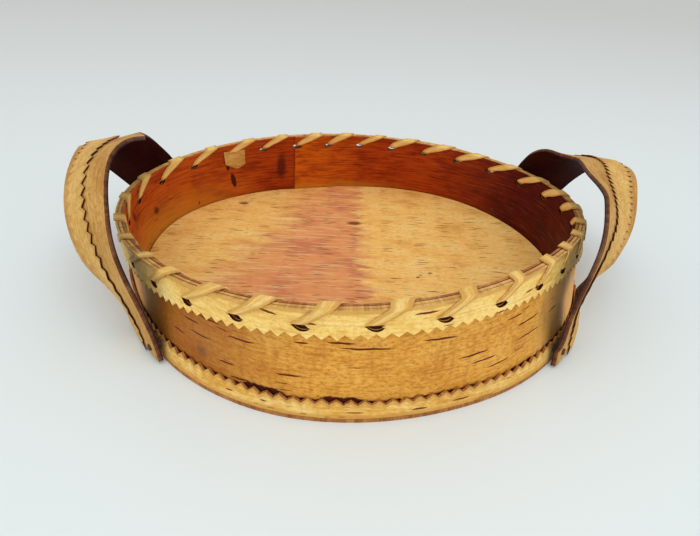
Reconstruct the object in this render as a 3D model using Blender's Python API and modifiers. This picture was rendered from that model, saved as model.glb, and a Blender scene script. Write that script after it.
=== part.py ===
"""Round birch bark basket with two strap handles.

The floor is two discs of bark. The wall is two long sheets of bark, one inside the other, each
closed by a lap. A narrow bark band with a pinked edge runs round the foot of the wall and another
round its rim, and one flat strip is laced over the rim through a row of punched holes. Each handle
is a loop of two bark straps laid face to face with a pinked trim on top, pegged to the wall at
both feet. The basket was cut and bent by hand, so its plan is slightly out of round and its rim
rises and falls.

The origin is the middle of the underside. +Z is up, the handles lie along X, and the front is -Y.
"""

import math

import bmesh
import bpy
import numpy as np
from mathutils import Vector

# Whole basket, in metres
RIM_RADIUS = 0.1250
BASE_RADIUS = 0.1264
BASE_SHIFT = (0.0012, -0.0011)
WALL_HEIGHT = 0.0444
SEAT_GAP = 0.00035

# How far the hand-bent outline strays from a circle, as (waves per turn, cosine share, sine share)
RIM_PLAN_SHARES = ((2, 0.036, 0.017), (3, -0.020, 0.048), (4, 0.009, -0.002))
BASE_PLAN_SHARES = ((2, 0.001, 0.002), (3, -0.005, 0.015), (4, -0.006, -0.015))
RIM_HEIGHT_SHARES = ((1, 0.070, -0.085), (2, -0.110, -0.082))

# Bark sheets
BASE_THICKNESS = 0.0018
FLOOR_THICKNESS = 0.0014
WALL_THICKNESS = 0.0015
LINING_THICKNESS = 0.0012
BAND_THICKNESS = 0.0011
FLOOR_EDGE_GAP = 0.0008
SHEET_STEPS = 120

# Lapped seams: where the upper end stops, how far it runs over, and how far it takes to step up
WALL_SEAM_DEG = 66.0
LINING_SEAM_DEG = 114.0
LAP_LENGTH = 0.025
LAP_RAMP = 0.012

# Pinked bands
LOWER_BAND_HEIGHT = 0.0093
UPPER_BAND_HEIGHT = 0.0122
BAND_SEAM_DEG = 37.0
TOOTH_COUNT = 144
TOOTH_DEPTH = 0.0020

# Rim lacing
HOLE_COUNT = 30
HOLE_RADIUS = 0.0024
HOLE_SIDES = 6
HOLE_DROP = 0.0074
FIRST_HOLE_DEG = 139.6
HOLE_DRIFT_DEG = 2.6
LACE_WIDTH = 0.0050
LACE_THICKNESS = 0.0009
LACE_GAP = 0.00055

# Handles
STRAP_WIDTH = 0.033
STRAP_SHELL_RADIUS = 0.130
INNER_STRAP_THICKNESS = 0.0016
OUTER_STRAP_THICKNESS = 0.0014
TRIM_WIDTH = 0.0165
TRIM_OFFSET = 0.0043
TRIM_THICKNESS = 0.0008
TRIM_TOOTH_PITCH = 0.0055
TRIM_TOOTH_DEPTH = 0.0027
STRAP_FLOOR_GAP = 0.0016
STRAP_WALL_GAP = 0.0009
HANDLE_STANDOFF = 0.012
HANDLE_RISE = 0.0276

# Pegs through the feet of the straps
PEG_RADIUS = 0.0016
PEG_HOLE_RADIUS = 0.0020
PEG_SIDES = 8
PEG_RISE = 0.0068
PEG_INSET = 0.0060
PEG_HEAD = 0.0006

CUT_OVERRUN = 0.004

# One stitch of the lacing: share of the way to the next hole, share of the height from hole to
# crest, share of the way from the outer to the inner side, turn of its face in degrees from
# outward by way of up, and its length along the rim as a share of the strip's width
STITCH_SHARES = (
    (0.00, 0.00, 0.21, -90, 0.50),
    (0.015, 0.15, 0.00, 0, 0.52),
    (0.16, 0.37, 0.00, 0, 1.40),
    (0.30, 0.58, 0.00, 0, 1.55),
    (0.45, 0.80, 0.00, 0, 1.55),
    (0.52, 0.97, 0.04, 45, 1.50),
    (0.56, 1.00, 0.50, 90, 1.50),
    (0.60, 0.97, 0.96, 135, 1.50),
    (0.66, 0.80, 1.00, 180, 1.50),
    (0.84, 0.42, 1.00, 180, 1.25),
    (0.985, 0.15, 1.00, 180, 0.52),
    (1.00, 0.00, 0.79, 270, 0.50),
)
LACE_START_SHARES = (0.00, 0.00, 0.79, -90, 0.50)
LACE_END_SHARES = (0.97, 0.08, 1.00, 180, 1.20)

# Middle line of each handle strap from foot to foot: share of the way round from the handle's
# middle to its foot, share of the standoff from the wall, share of the crest's height, then the
# heading and dip of the strap's width in degrees. The feet lean out by a share of the standoff.
HANDLE_TURNS_DEG = {"left": 8.0, "right": -2.0}
HANDLE_FOOT_DEG = {"left": 34.4, "right": 36.0}
FOOT_LEAN_SHARES = {"left": 0.22, "right": 0.12}
HANDLE_PATH_SHARES = {
    "left": (
        (-0.93, 0.80, 0.42, 55, -13),
        (-0.71, 1.09, 0.62, 48, -18),
        (-0.56, 1.06, 0.715, 41, -34),
        (0.01, 0.18, 0.92, 4, -11),
        (0.60, 0.12, 0.78, -41, -18),
        (0.73, 0.58, 0.625, -61, -28),
        (0.92, 0.72, 0.39, -62, -11),
    ),
    "right": (
        (-0.95, 0.34, 0.395, 63, -8),
        (-0.79, 0.88, 0.645, 57, -24),
        (-0.53, 0.87, 0.78, 39, -38),
        (0.01, 0.27, 0.92, 4, -3),
        (0.64, -0.36, 0.74, -30, -17),
        (0.81, 0.14, 0.58, -56, -29),
        (0.93, 0.38, 0.41, -63, -9),
    ),
}

# Material colours, as linear base colour and roughness
FINISHES = {
    "bark_straw": ((0.66, 0.44, 0.17), 0.62),
    "bark_ochre": ((0.42, 0.21, 0.07), 0.60),
    "bark_tan": ((0.54, 0.30, 0.10), 0.60),
    "bark_maroon": ((0.075, 0.018, 0.010), 0.50),
    "bark_rust": ((0.26, 0.09, 0.025), 0.55),
    "birch_wood": ((0.45, 0.26, 0.11), 0.65),
}


def wave(angle, shares):
    """Value round the turn that strays from one by a few waves."""
    return 1 + sum(c * math.cos(n * angle) + s * math.sin(n * angle) for n, c, s in shares)


def rim_height(angle):
    """Height of the sheets' upper edge above the table."""
    return WALL_HEIGHT * wave(angle, RIM_HEIGHT_SHARES)


def wall_foot():
    """Height at which the wall and the bands stand on the base disc."""
    return BASE_THICKNESS + SEAT_GAP


def arc_angle(length):
    """Angle of an arc of this length on the wall."""
    return length / RIM_RADIUS


def lap_window(angle, seam_deg, margin=0):
    """1 where a lap doubles its sheet, with an even ramp on each side, and 0 elsewhere."""
    half = arc_angle(LAP_LENGTH) / 2
    away = abs(math.remainder(angle - math.radians(seam_deg) + half, math.tau))
    beyond = away - half - arc_angle(margin)
    return min(1.0, max(0.0, 1 - beyond / arc_angle(LAP_RAMP)))


def wall_bump(angle, margin=0):
    """How far the wall's lap pushes what lies outside it."""
    return (WALL_THICKNESS + SEAT_GAP) * lap_window(angle, WALL_SEAM_DEG, margin)


def lining_bump(angle, margin=0):
    """How far the lining's lap stands in from the lining."""
    return (LINING_THICKNESS + SEAT_GAP) * lap_window(angle, LINING_SEAM_DEG, margin)


WALL_DEPTH = BAND_THICKNESS + SEAT_GAP
LINING_DEPTH = WALL_DEPTH + WALL_THICKNESS + SEAT_GAP
FULL_DEPTH = LINING_DEPTH + LINING_THICKNESS


def skin_point(angle, height, depth):
    """Point at a depth inside the bands' outer face, at this angle and height."""
    rise = height / rim_height(angle)
    base = BASE_RADIUS * wave(angle, BASE_PLAN_SHARES)
    rim = RIM_RADIUS * wave(angle, RIM_PLAN_SHARES)
    radius = base + (rim - base) * rise - depth
    x = radius * math.cos(angle) + BASE_SHIFT[0] * (1 - rise)
    y = radius * math.sin(angle) + BASE_SHIFT[1] * (1 - rise)
    return Vector((x, y, height))


def skin_frame(angle, height, depth):
    """Point on the wall with its directions along the wall, up it and outward."""
    here = skin_point(angle, height, depth)
    nudge = arc_angle(SEAT_GAP)
    along = (skin_point(angle + nudge, height, depth) - here).normalized()
    up = (skin_point(angle, height + SEAT_GAP, depth) - here).normalized()
    out = along.cross(up).normalized()
    return here, along, up, out


def make_collection(name):
    """New collection in the scene."""
    collection = bpy.data.collections.new(name)
    bpy.context.scene.collection.children.link(collection)
    return collection


def make_material(name):
    """Principled material of one bark or wood."""
    colour, roughness = FINISHES[name]
    material = bpy.data.materials.new(name)
    material.use_nodes = True
    shader = material.node_tree.nodes["Principled BSDF"]
    shader.inputs["Base Color"].default_value = (*colour, 1)
    shader.inputs["Roughness"].default_value = roughness
    shader.inputs["Metallic"].default_value = 0
    material.diffuse_color = (*colour, 1)
    return material


def finish_mesh(name, bm, collection, material=None):
    """Turn a bmesh into a named object of the collection."""
    bmesh.ops.recalc_face_normals(bm, faces=bm.faces)
    mesh = bpy.data.meshes.new(name)
    bm.to_mesh(mesh)
    bm.free()
    obj = bpy.data.objects.new(name, mesh)
    if material:
        mesh.materials.append(material)
    collection.objects.link(obj)
    return obj


def sheet_mesh(rows):
    """Open surface through rows of points, with all its diagonals the same way."""
    bm = bmesh.new()
    grid = [[bm.verts.new(point) for point in row] for row in rows]
    for low, high in zip(grid, grid[1:]):
        for a, b, c, d in zip(low, low[1:], high[1:], high):
            bm.faces.new((a, b, c))
            bm.faces.new((a, c, d))
    return bm


def thicken(obj, thickness):
    """Give an open sheet its thickness, behind its front face."""
    solidify = obj.modifiers.new("bark thickness", "SOLIDIFY")
    solidify.thickness = thickness
    solidify.offset = -1
    solidify.use_even_offset = True
    return obj


def punch(obj, cutters):
    """Cut one row of holes through a sheet."""
    for cutter in cutters:
        cut = obj.modifiers.new(cutter.name, "BOOLEAN")
        cut.operation = "DIFFERENCE"
        cut.object = cutter
    return obj


def shade(obj):
    """Smooth the bent faces and keep the cut edges sharp."""
    obj.data.shade_smooth()
    obj.data.set_sharp_from_angle(angle=math.radians(40))
    return obj


def make_disc(name, collection, material, depth, bottom, thickness):
    """Disc of bark that follows the wall's outline at its foot."""
    bm = bmesh.new()
    steps = [math.tau * i / SHEET_STEPS for i in range(SHEET_STEPS)]
    ring = [bm.verts.new(skin_point(angle, bottom, depth(angle))) for angle in steps]
    face = bm.faces.new(ring)
    lifted = bmesh.ops.extrude_face_region(bm, geom=[face])["geom"]
    top = [item for item in lifted if isinstance(item, bmesh.types.BMVert)]
    bmesh.ops.translate(bm, verts=top, vec=(0, 0, thickness))
    return shade(finish_mesh(name, bm, collection, material))


def make_wall_sheet(name, collection, material, seam_deg, depth, step, thickness):
    """Sheet of bark round the wall whose upper end laps over its start by one step of depth."""
    end = math.radians(seam_deg) + math.tau
    ramp_end = end - arc_angle(LAP_LENGTH)
    ramp_start = ramp_end - arc_angle(LAP_RAMP)
    stops = (ramp_end - math.tau, end - math.tau, ramp_start, ramp_end, end)
    angles = []
    for low, high in zip(stops, stops[1:]):
        count = max(2, round(SHEET_STEPS * (high - low) / math.tau))
        angles += [low + (high - low) * i / count for i in range(count)]
    rows = [[], []]
    for angle in angles + [end]:
        lap = min(1.0, max(0.0, (angle - ramp_start) / (ramp_end - ramp_start)))
        for row, height in zip(rows, (wall_foot(), rim_height(angle))):
            row.append(skin_point(angle, height, depth + step * lap))
    obj = finish_sheet(name, rows, collection, material)
    return thicken(obj, thickness)


def finish_sheet(name, rows, collection, material):
    """Object of an open sheet whose front face looks away from the basket's middle."""
    bm = sheet_mesh(rows)
    obj_mesh = bpy.data.meshes.new(name)
    bm.to_mesh(obj_mesh)
    bm.free()
    obj_mesh.materials.append(material)
    obj = bpy.data.objects.new(name, obj_mesh)
    collection.objects.link(obj)
    return shade(obj)


def make_band(name, collection, material, bottom, top, tooth_bottom, tooth_top):
    """Band round the wall with one pinked edge and its two ends butted."""
    seam = math.radians(BAND_SEAM_DEG)
    gap = arc_angle(SEAT_GAP)
    steps = 2 * TOOTH_COUNT
    rows = [[], []]
    for i in range(steps + 1):
        angle = seam + gap + (math.tau - 2 * gap) * i / steps
        point = i % 2
        depth = -wall_bump(angle)
        rows[0].append(skin_point(angle, bottom(angle) - tooth_bottom * point, depth))
        rows[1].append(skin_point(angle, top(angle) + tooth_top * point, depth))
    obj = finish_sheet(name, rows, collection, material)
    return thicken(obj, BAND_THICKNESS)


def hole_angle(index):
    """Angle of a lacing hole, whose spacing drifts round the rim."""
    even = math.radians(FIRST_HOLE_DEG) + math.tau * index / HOLE_COUNT
    return even - math.radians(HOLE_DRIFT_DEG) * math.sin(even)


def add_prism(bm, centre, direction, radius, length, sides):
    """Add a straight prism that runs along a direction."""
    turn = direction.to_track_quat("Z", "Y").to_matrix().to_4x4()
    turn.translation = centre
    bmesh.ops.create_cone(bm, cap_ends=True, segments=sides, radius1=radius, radius2=radius,
                          depth=length, matrix=turn)


def as_cutter(name, bm, collection):
    """Object that only cuts others."""
    obj = finish_mesh(name, bm, collection)
    obj.hide_render = True
    obj.display_type = "WIRE"
    return obj


def make_hole_cutter(collection):
    """Row of prisms that punches the lacing holes."""
    bm = bmesh.new()
    length = FULL_DEPTH + 2 * CUT_OVERRUN
    for index in range(HOLE_COUNT):
        angle = hole_angle(index)
        height = rim_height(angle) - HOLE_DROP
        centre = skin_point(angle, height, FULL_DEPTH / 2)
        radial = Vector((math.cos(angle), math.sin(angle), 0))
        add_prism(bm, centre, radial, HOLE_RADIUS, length, HOLE_SIDES)
    return as_cutter("lacing_hole_cutter", bm, collection)


def lace_edge(angle, rise, across, turn):
    """Point of the lacing's middle layer and its face direction at one angle of the rim."""
    outside = -LACE_GAP - LACE_THICKNESS / 2
    inside = FULL_DEPTH - outside + lining_bump(angle, LACE_WIDTH)
    outside -= wall_bump(angle, LACE_WIDTH)
    crest = HOLE_DROP + LACE_GAP + LACE_THICKNESS / 2
    height = rim_height(angle) - HOLE_DROP + crest * rise
    point, _, up, out = skin_frame(angle, height, outside + (inside - outside) * across)
    tilt = math.radians(turn)
    return point, out * math.cos(tilt) + up * math.sin(tilt)


def lace_sections():
    """Two edges of the lacing at each step, each a point with its face direction."""
    sections = []
    for index in range(HOLE_COUNT):
        start = hole_angle(index)
        stride = hole_angle(index + 1) - start
        route = STITCH_SHARES
        if index == 0:
            route = (LACE_START_SHARES,) + route
        if index == HOLE_COUNT - 1:
            route = route[:-2] + (LACE_END_SHARES,)
        for along, rise, across, turn, width in route:
            middle = start + stride * along
            half = arc_angle(LACE_WIDTH * width / 2)
            sections.append([lace_edge(middle + half * side, rise, across, turn)
                             for side in (-1, 1)])
    return sections


def split_quad(bm, corners, flip):
    """Two triangles across a quad, which meet along one diagonal or the other."""
    a, b, c, d = corners[1:] + corners[:1] if flip else corners
    bm.faces.new((a, b, c))
    bm.faces.new((a, c, d))


def loft_rings(rings, columns):
    """Closed strip through its sections, each a ring that starts with the front's points.

    Every quad folds along its hollow diagonal, front and back alike, so that layers nest.
    """
    bm = bmesh.new()
    rings = [[bm.verts.new(point) for point in ring] for ring in rings]
    for near, far in zip(rings, rings[1:]):
        for i in range(columns):
            lift = near[i].co - near[-1 - i].co
            proud = near[i].co + far[i + 1].co - near[i + 1].co - far[i].co
            flip = proud.dot(lift) > 0
            split_quad(bm, (near[i], near[i + 1], far[i + 1], far[i]), flip)
            split_quad(bm, (near[-1 - i], near[-2 - i], far[-2 - i], far[-1 - i]), flip)
        for i in (columns, -1):
            split_quad(bm, (near[i], near[i + 1], far[i + 1], far[i]), False)
    for ring in (rings[0], rings[-1]):
        for i in range(columns):
            bm.faces.new((ring[i], ring[i + 1], ring[-2 - i], ring[-1 - i]))
    return bm


def least_turn_gap(sections):
    """Least distance between neighbouring turns of the lacing, measured on its edges' points."""
    points = np.array([[tuple(point) for point, _ in section] for section in sections])
    turn = len(STITCH_SHARES)
    least = math.inf
    for i, here in enumerate(points):
        others = points[i + turn - 1:i + 2 * turn].reshape(-1, 3)
        if len(others):
            apart = np.linalg.norm(here[:, None] - others[None, :], axis=2)
            least = min(least, float(apart.min()) - LACE_THICKNESS)
    return least


def make_lacing(collection, material):
    """Flat strip that winds over the rim from hole to hole."""
    sections = lace_sections()
    print("least gap between turns of the rim lacing, mm:",
          round(least_turn_gap(sections) * 1000, 2))
    rings = []
    for section in sections:
        front, back = ([point + face * lift for point, face in section]
                       for lift in (LACE_THICKNESS / 2, -LACE_THICKNESS / 2))
        rings.append(front + back[::-1])
    return shade(finish_mesh("rim_lacing", loft_rings(rings, 1), collection, material))


def spline(knots, values, samples):
    """Natural cubic curve through rows of values at the knots, read at the samples."""
    knots = np.asarray(knots, float)
    values = np.asarray(values, float)
    gaps = np.diff(knots)
    count = len(knots)
    system = np.eye(count)
    right = np.zeros_like(values)
    for i in range(1, count - 1):
        system[i, i - 1:i + 2] = gaps[i - 1], 2 * (gaps[i - 1] + gaps[i]), gaps[i]
        slopes = (values[i + 1] - values[i]) / gaps[i] - (values[i] - values[i - 1]) / gaps[i - 1]
        right[i] = 6 * slopes
    bend = np.linalg.solve(system, right)
    out = []
    for sample in samples:
        i = min(count - 2, max(0, int(np.searchsorted(knots, sample)) - 1))
        a = (knots[i + 1] - sample) / gaps[i]
        b = (sample - knots[i]) / gaps[i]
        curve = ((a ** 3 - a) * bend[i] + (b ** 3 - b) * bend[i + 1]) * gaps[i] ** 2 / 6
        out.append(a * values[i] + b * values[i + 1] + curve)
    return np.array(out)


def handle_axes(side):
    """Outward and sideways directions of a handle, the latter pointing to the back."""
    turn = math.radians(HANDLE_TURNS_DEG[side])
    out = Vector((math.cos(turn), math.sin(turn), 0))
    back = Vector((-math.sin(turn), math.cos(turn), 0))
    if side == "left":
        out = -out
    return out, back


def wall_angle(side, share):
    """Angle on the wall at a share of the way from a handle's middle to its back foot."""
    spread = math.radians(HANDLE_FOOT_DEG[side]) * share
    turn = math.radians(HANDLE_TURNS_DEG[side])
    if side == "left":
        return math.pi + turn - spread
    return turn + spread


def foot_gap(side, height):
    """Gap between the wall's bands and a strap's foot, which leans out as it rises."""
    rise = (height - STRAP_FLOOR_GAP) / (foot_top() - STRAP_FLOOR_GAP)
    return STRAP_WALL_GAP + HANDLE_STANDOFF * FOOT_LEAN_SHARES[side] * rise


def foot_top():
    """Height of the lower band's edge, where a strap is free of the wall."""
    return wall_foot() + LOWER_BAND_HEIGHT


def foot_knots(side, end):
    """Points of one foot, each with its width direction, where end is -1 at the front."""
    flip = 1 if side == "right" else -1
    rows = []
    for height in (STRAP_FLOOR_GAP, (STRAP_FLOOR_GAP + foot_top()) / 2, foot_top()):
        here, along, _, _ = skin_frame(wall_angle(side, end), height, -foot_gap(side, height))
        rows.append((here, along * flip * -end))
    return rows if end < 0 else rows[::-1]


def handle_knots(side):
    """Points of a strap's middle line from foot to foot, each with its width direction."""
    out, back = handle_axes(side)
    free = []
    for round_share, off_share, rise_share, heading, dip in HANDLE_PATH_SHARES[side]:
        angle = wall_angle(side, round_share)
        height = (WALL_HEIGHT + HANDLE_RISE) * rise_share
        level = min(height, rim_height(angle))
        point = skin_point(angle, level, -HANDLE_STANDOFF * off_share)
        point.z = height
        turn, tip = math.radians(heading), math.radians(dip)
        width = (out * math.cos(turn) + back * math.sin(turn)) * math.cos(tip)
        width.z = math.sin(tip)
        free.append((point, width))
    return foot_knots(side, -1) + free + foot_knots(side, 1)


def strap_stations(side):
    """Stations along a strap, one for each tooth: middle, width direction and outward face."""
    knots = handle_knots(side)
    points = np.array([tuple(point) for point, _ in knots])
    widths = np.array([tuple(width) for _, width in knots])
    lengths = np.concatenate([[0], np.cumsum(np.linalg.norm(np.diff(points, axis=0), axis=1))])
    samples = np.linspace(0, lengths[-1], round(lengths[-1] / TRIM_TOOTH_PITCH) + 1)
    path = spline(lengths, points, samples)
    sides = spline(lengths, widths, samples)
    ahead = np.gradient(path, axis=0)
    stations = []
    for point, width, tangent in zip(path, sides, ahead):
        tangent = Vector(tangent).normalized()
        width = Vector(width)
        width = (width - tangent * width.dot(tangent)).normalized()
        face = tangent.cross(width) if side == "left" else width.cross(tangent)
        stations.append((Vector(point), width, face))
    return stations


def strap_point(station, across, lift):
    """Point of a station's bowed section, at a distance across and a lift off its inner face."""
    point, width, face = station
    bow = across * across / (2 * STRAP_SHELL_RADIUS)
    return point + width * across + face * (lift - bow)


def strap_ring(station, edges, lift, thickness):
    """Section of one layer, given by the distances across of its points."""
    front, back = ([strap_point(station, across, height) for across in edges]
                   for height in (lift + thickness, lift))
    return front + back[::-1]


def make_strap(name, side, collection, material, lift, thickness):
    """One bark layer of a handle strap."""
    half = STRAP_WIDTH / 2
    edges = (-half, 0, half)
    rings = [strap_ring(station, edges, lift, thickness) for station in strap_stations(side)]
    return shade(finish_mesh(name, loft_rings(rings, 2), collection, material))


def make_trim(name, side, collection, material):
    """Narrow strip with two pinked edges that lies on a strap, a tooth at each station."""
    lift = strap_stack() + SEAT_GAP
    broad, slim = ((TRIM_OFFSET - half, TRIM_OFFSET, TRIM_OFFSET + half)
                   for half in (TRIM_WIDTH / 2, TRIM_WIDTH / 2 - TRIM_TOOTH_DEPTH))
    stations = strap_stations(side)
    rings = []
    for here, ahead in zip(stations, stations[1:]):
        rings.append(strap_ring(here, broad, lift, TRIM_THICKNESS))
        near, far = (strap_ring(station, slim, lift, TRIM_THICKNESS) for station in (here, ahead))
        rings.append([(a + b) / 2 for a, b in zip(near, far)])
    rings.append(strap_ring(stations[-1], broad, lift, TRIM_THICKNESS))
    return shade(finish_mesh(name, loft_rings(rings, 2), collection, material))


def peg_axis(side, end):
    """Middle and level direction of the peg through one strap foot, near its inner edge."""
    inset = arc_angle(STRAP_WIDTH / 2 - PEG_INSET) * -end
    if side == "right":
        inset = -inset
    angle = wall_angle(side, end) + inset
    centre, _, _, out = skin_frame(angle, PEG_RISE, -foot_gap(side, PEG_RISE))
    return centre, Vector((out.x, out.y, 0)).normalized()


def strap_stack():
    """Thickness of the two straps laid together."""
    return INNER_STRAP_THICKNESS + SEAT_GAP + OUTER_STRAP_THICKNESS


def make_peg(name, side, end, collection, material):
    """Birch peg that pins a strap's foot through the lower band, the wall and the lining."""
    bm = bmesh.new()
    outer = strap_stack() + PEG_HEAD
    inner = FULL_DEPTH + foot_gap(side, PEG_RISE)
    centre, out = peg_axis(side, end)
    middle = centre + out * ((outer - inner) / 2)
    add_prism(bm, middle, out, PEG_RADIUS, outer + inner, PEG_SIDES)
    return shade(finish_mesh(name, bm, collection, material))


def make_peg_cutter(collection):
    """Prisms that drill the peg holes."""
    bm = bmesh.new()
    length = 2 * (FULL_DEPTH + CUT_OVERRUN)
    for side in ("left", "right"):
        for end in (-1, 1):
            centre, out = peg_axis(side, end)
            add_prism(bm, centre, out, PEG_HOLE_RADIUS, length, PEG_SIDES)
    return as_cutter("peg_hole_cutter", bm, collection)


def build():
    """Model the whole basket."""
    for obj in list(bpy.data.objects):
        bpy.data.objects.remove(obj, do_unlink=True)
    parts = make_collection("birch_bark_basket")
    tools = make_collection("cutters")
    bark = {name: make_material(name) for name in FINISHES}
    lacing_holes = make_hole_cutter(tools)
    peg_holes = make_peg_cutter(tools)

    make_disc("base_panel", parts, bark["bark_tan"], lambda angle: 0, 0, BASE_THICKNESS)
    make_disc("floor_panel", parts, bark["bark_tan"],
              lambda angle: FULL_DEPTH + FLOOR_EDGE_GAP + lining_bump(angle), wall_foot(),
              FLOOR_THICKNESS)

    wall = make_wall_sheet("wall_outer", parts, bark["bark_ochre"], WALL_SEAM_DEG, WALL_DEPTH,
                           -(WALL_THICKNESS + SEAT_GAP), WALL_THICKNESS)
    punch(wall, (lacing_holes, peg_holes))
    lining = make_wall_sheet("wall_lining", parts, bark["bark_rust"], LINING_SEAM_DEG,
                             LINING_DEPTH, LINING_THICKNESS + SEAT_GAP, LINING_THICKNESS)
    punch(lining, (lacing_holes, peg_holes))

    lower = make_band("lower_band", parts, bark["bark_straw"], lambda angle: wall_foot(),
                      lambda angle: LOWER_BAND_HEIGHT, 0, TOOTH_DEPTH)
    punch(lower, (peg_holes,))
    upper = make_band("upper_band", parts, bark["bark_straw"],
                      lambda angle: rim_height(angle) - UPPER_BAND_HEIGHT + TOOTH_DEPTH,
                      rim_height, TOOTH_DEPTH, 0)
    punch(upper, (lacing_holes,))
    make_lacing(parts, bark["bark_straw"])

    for side in ("left", "right"):
        inner = make_strap(f"handle_{side}_inner", side, parts, bark["bark_maroon"], 0,
                           INNER_STRAP_THICKNESS)
        outer = make_strap(f"handle_{side}_outer", side, parts, bark["bark_tan"],
                           INNER_STRAP_THICKNESS + SEAT_GAP, OUTER_STRAP_THICKNESS)
        punch(inner, (peg_holes,))
        punch(outer, (peg_holes,))
        make_trim(f"handle_{side}_trim", side, parts, bark["bark_straw"])
        for place, end in (("front", -1), ("back", 1)):
            make_peg(f"peg_{side}_{place}", side, end, parts, bark["birch_wood"])


build()
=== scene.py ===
"""Looks of a round birch bark basket with two strap handles.

The basket is built from sheets of bark: a laced and pinked wall, a floor and two pegged straps.
Every sheet here follows the same formulas as the plain solid that it stands for, on a finer grid.
All lengths are in metres, +Z is up, the handles lie along X, and the front of the basket is -Y.
"""

import logging
import math
import random
from dataclasses import dataclass
from enum import Enum
from typing import Callable, Dict, List, Optional, Sequence, Tuple, Union

import bmesh
import bpy
import numpy as np
from mathutils import Matrix, Vector, noise


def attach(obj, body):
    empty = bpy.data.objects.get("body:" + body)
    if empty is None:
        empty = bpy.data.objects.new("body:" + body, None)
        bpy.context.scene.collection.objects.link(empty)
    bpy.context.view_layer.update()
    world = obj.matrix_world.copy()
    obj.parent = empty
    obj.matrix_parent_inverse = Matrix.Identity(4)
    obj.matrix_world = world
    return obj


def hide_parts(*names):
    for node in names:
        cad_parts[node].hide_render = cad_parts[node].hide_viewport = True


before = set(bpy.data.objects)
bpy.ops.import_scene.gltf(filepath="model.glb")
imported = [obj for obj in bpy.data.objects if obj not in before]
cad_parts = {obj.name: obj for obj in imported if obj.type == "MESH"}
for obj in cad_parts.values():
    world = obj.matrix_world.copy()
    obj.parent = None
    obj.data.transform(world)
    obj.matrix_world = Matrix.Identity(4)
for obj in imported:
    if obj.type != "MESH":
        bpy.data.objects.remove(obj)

LOG = logging.getLogger("birch_bark_basket")
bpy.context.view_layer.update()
PLACE = "bark_place"
PLACE_LAYERS = (("along_across", 0), ("from_edge", 2))
MM = 0.001
FRONT_DEG = 270.0
HOLE_SLOT = 2
# How much taller the marks on the wall are made than their rows say
MARK_SWELL = 1.25

Tint = Tuple[int, int, int]
Place = Tuple[float, float, float]
Waves = Tuple[Tuple[int, float, float], ...]
Grid = List[List[Vector]]


class Slot(Enum):
    """Material slots of the record."""

    STRAW = "bark_straw"
    OCHRE = "bark_ochre"
    TAN = "bark_tan"
    MAROON = "bark_maroon"
    RUST = "bark_rust"
    WOOD = "birch_wood"


class Side(Enum):
    """The two handles."""

    LEFT = "left"
    RIGHT = "right"


class End(Enum):
    """The two feet of a handle, nearest the viewer or at the back."""

    FRONT = -1
    BACK = 1


def linear(tint: Tint) -> Tuple[float, float, float, float]:
    """Turn a display colour into the linear colour that shaders use.

    Args:
        tint: Red, green and blue from 0 to 255.

    Returns:
        Linear red, green, blue and an alpha of 1.
    """
    shares = [value / 255 for value in tint]
    flat = [s / 12.92 if s <= 0.04045 else ((s + 0.055) / 1.055) ** 2.4 for s in shares]
    return (flat[0], flat[1], flat[2], 1.0)


def wave(angle: float, shares: Waves) -> float:
    """Return the value round the turn that strays from one by a few waves."""
    return 1 + sum(c * math.cos(n * angle) + s * math.sin(n * angle) for n, c, s in shares)


def zigzag(phase: float) -> float:
    """Return the height of an even zigzag that is 0 at whole phases and 1 between them."""
    return 1 - abs(2 * (phase % 1.0) - 1)


def clamp(value: float) -> float:
    """Return the value held between 0 and 1."""
    return min(1.0, max(0.0, value))


class Wire:
    """A socket that carries a number, colour or vector, with arithmetic on it."""

    def __init__(self, graph: "Graph", socket: bpy.types.NodeSocket) -> None:
        """Keep the socket and the graph that its nodes belong to."""
        self.graph = graph
        self.socket = socket

    def other(self, name: str) -> "Wire":
        """Return another output of the node that this wire leaves."""
        return Wire(self.graph, self.socket.node.outputs[name])

    def __add__(self, value: "Value") -> "Wire":
        """Return the sum."""
        return self.graph.math("ADD", self, value)

    def __radd__(self, value: "Value") -> "Wire":
        """Return the sum with this wire on the right."""
        return self.graph.math("ADD", value, self)

    def __sub__(self, value: "Value") -> "Wire":
        """Return the difference."""
        return self.graph.math("SUBTRACT", self, value)

    def __rsub__(self, value: "Value") -> "Wire":
        """Return the difference with this wire on the right."""
        return self.graph.math("SUBTRACT", value, self)

    def __mul__(self, value: "Value") -> "Wire":
        """Return the product."""
        return self.graph.math("MULTIPLY", self, value)

    def __rmul__(self, value: "Value") -> "Wire":
        """Return the product with this wire on the right."""
        return self.graph.math("MULTIPLY", value, self)

    def __truediv__(self, value: "Value") -> "Wire":
        """Return the quotient."""
        return self.graph.math("DIVIDE", self, value)

    def __rtruediv__(self, value: "Value") -> "Wire":
        """Return the quotient with this wire on the right."""
        return self.graph.math("DIVIDE", value, self)

    def __lt__(self, value: "Value") -> "Wire":
        """Return 1 where this wire is the lesser and 0 elsewhere."""
        return self.graph.math("LESS_THAN", self, value)

    def __or__(self, value: "Value") -> "Wire":
        """Return the greater of two masks."""
        return self.graph.math("MAXIMUM", self, value)

    def __and__(self, value: "Value") -> "Wire":
        """Return the lesser of two masks."""
        return self.graph.math("MINIMUM", self, value)


Value = Union[Wire, float, Sequence[float]]


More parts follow.
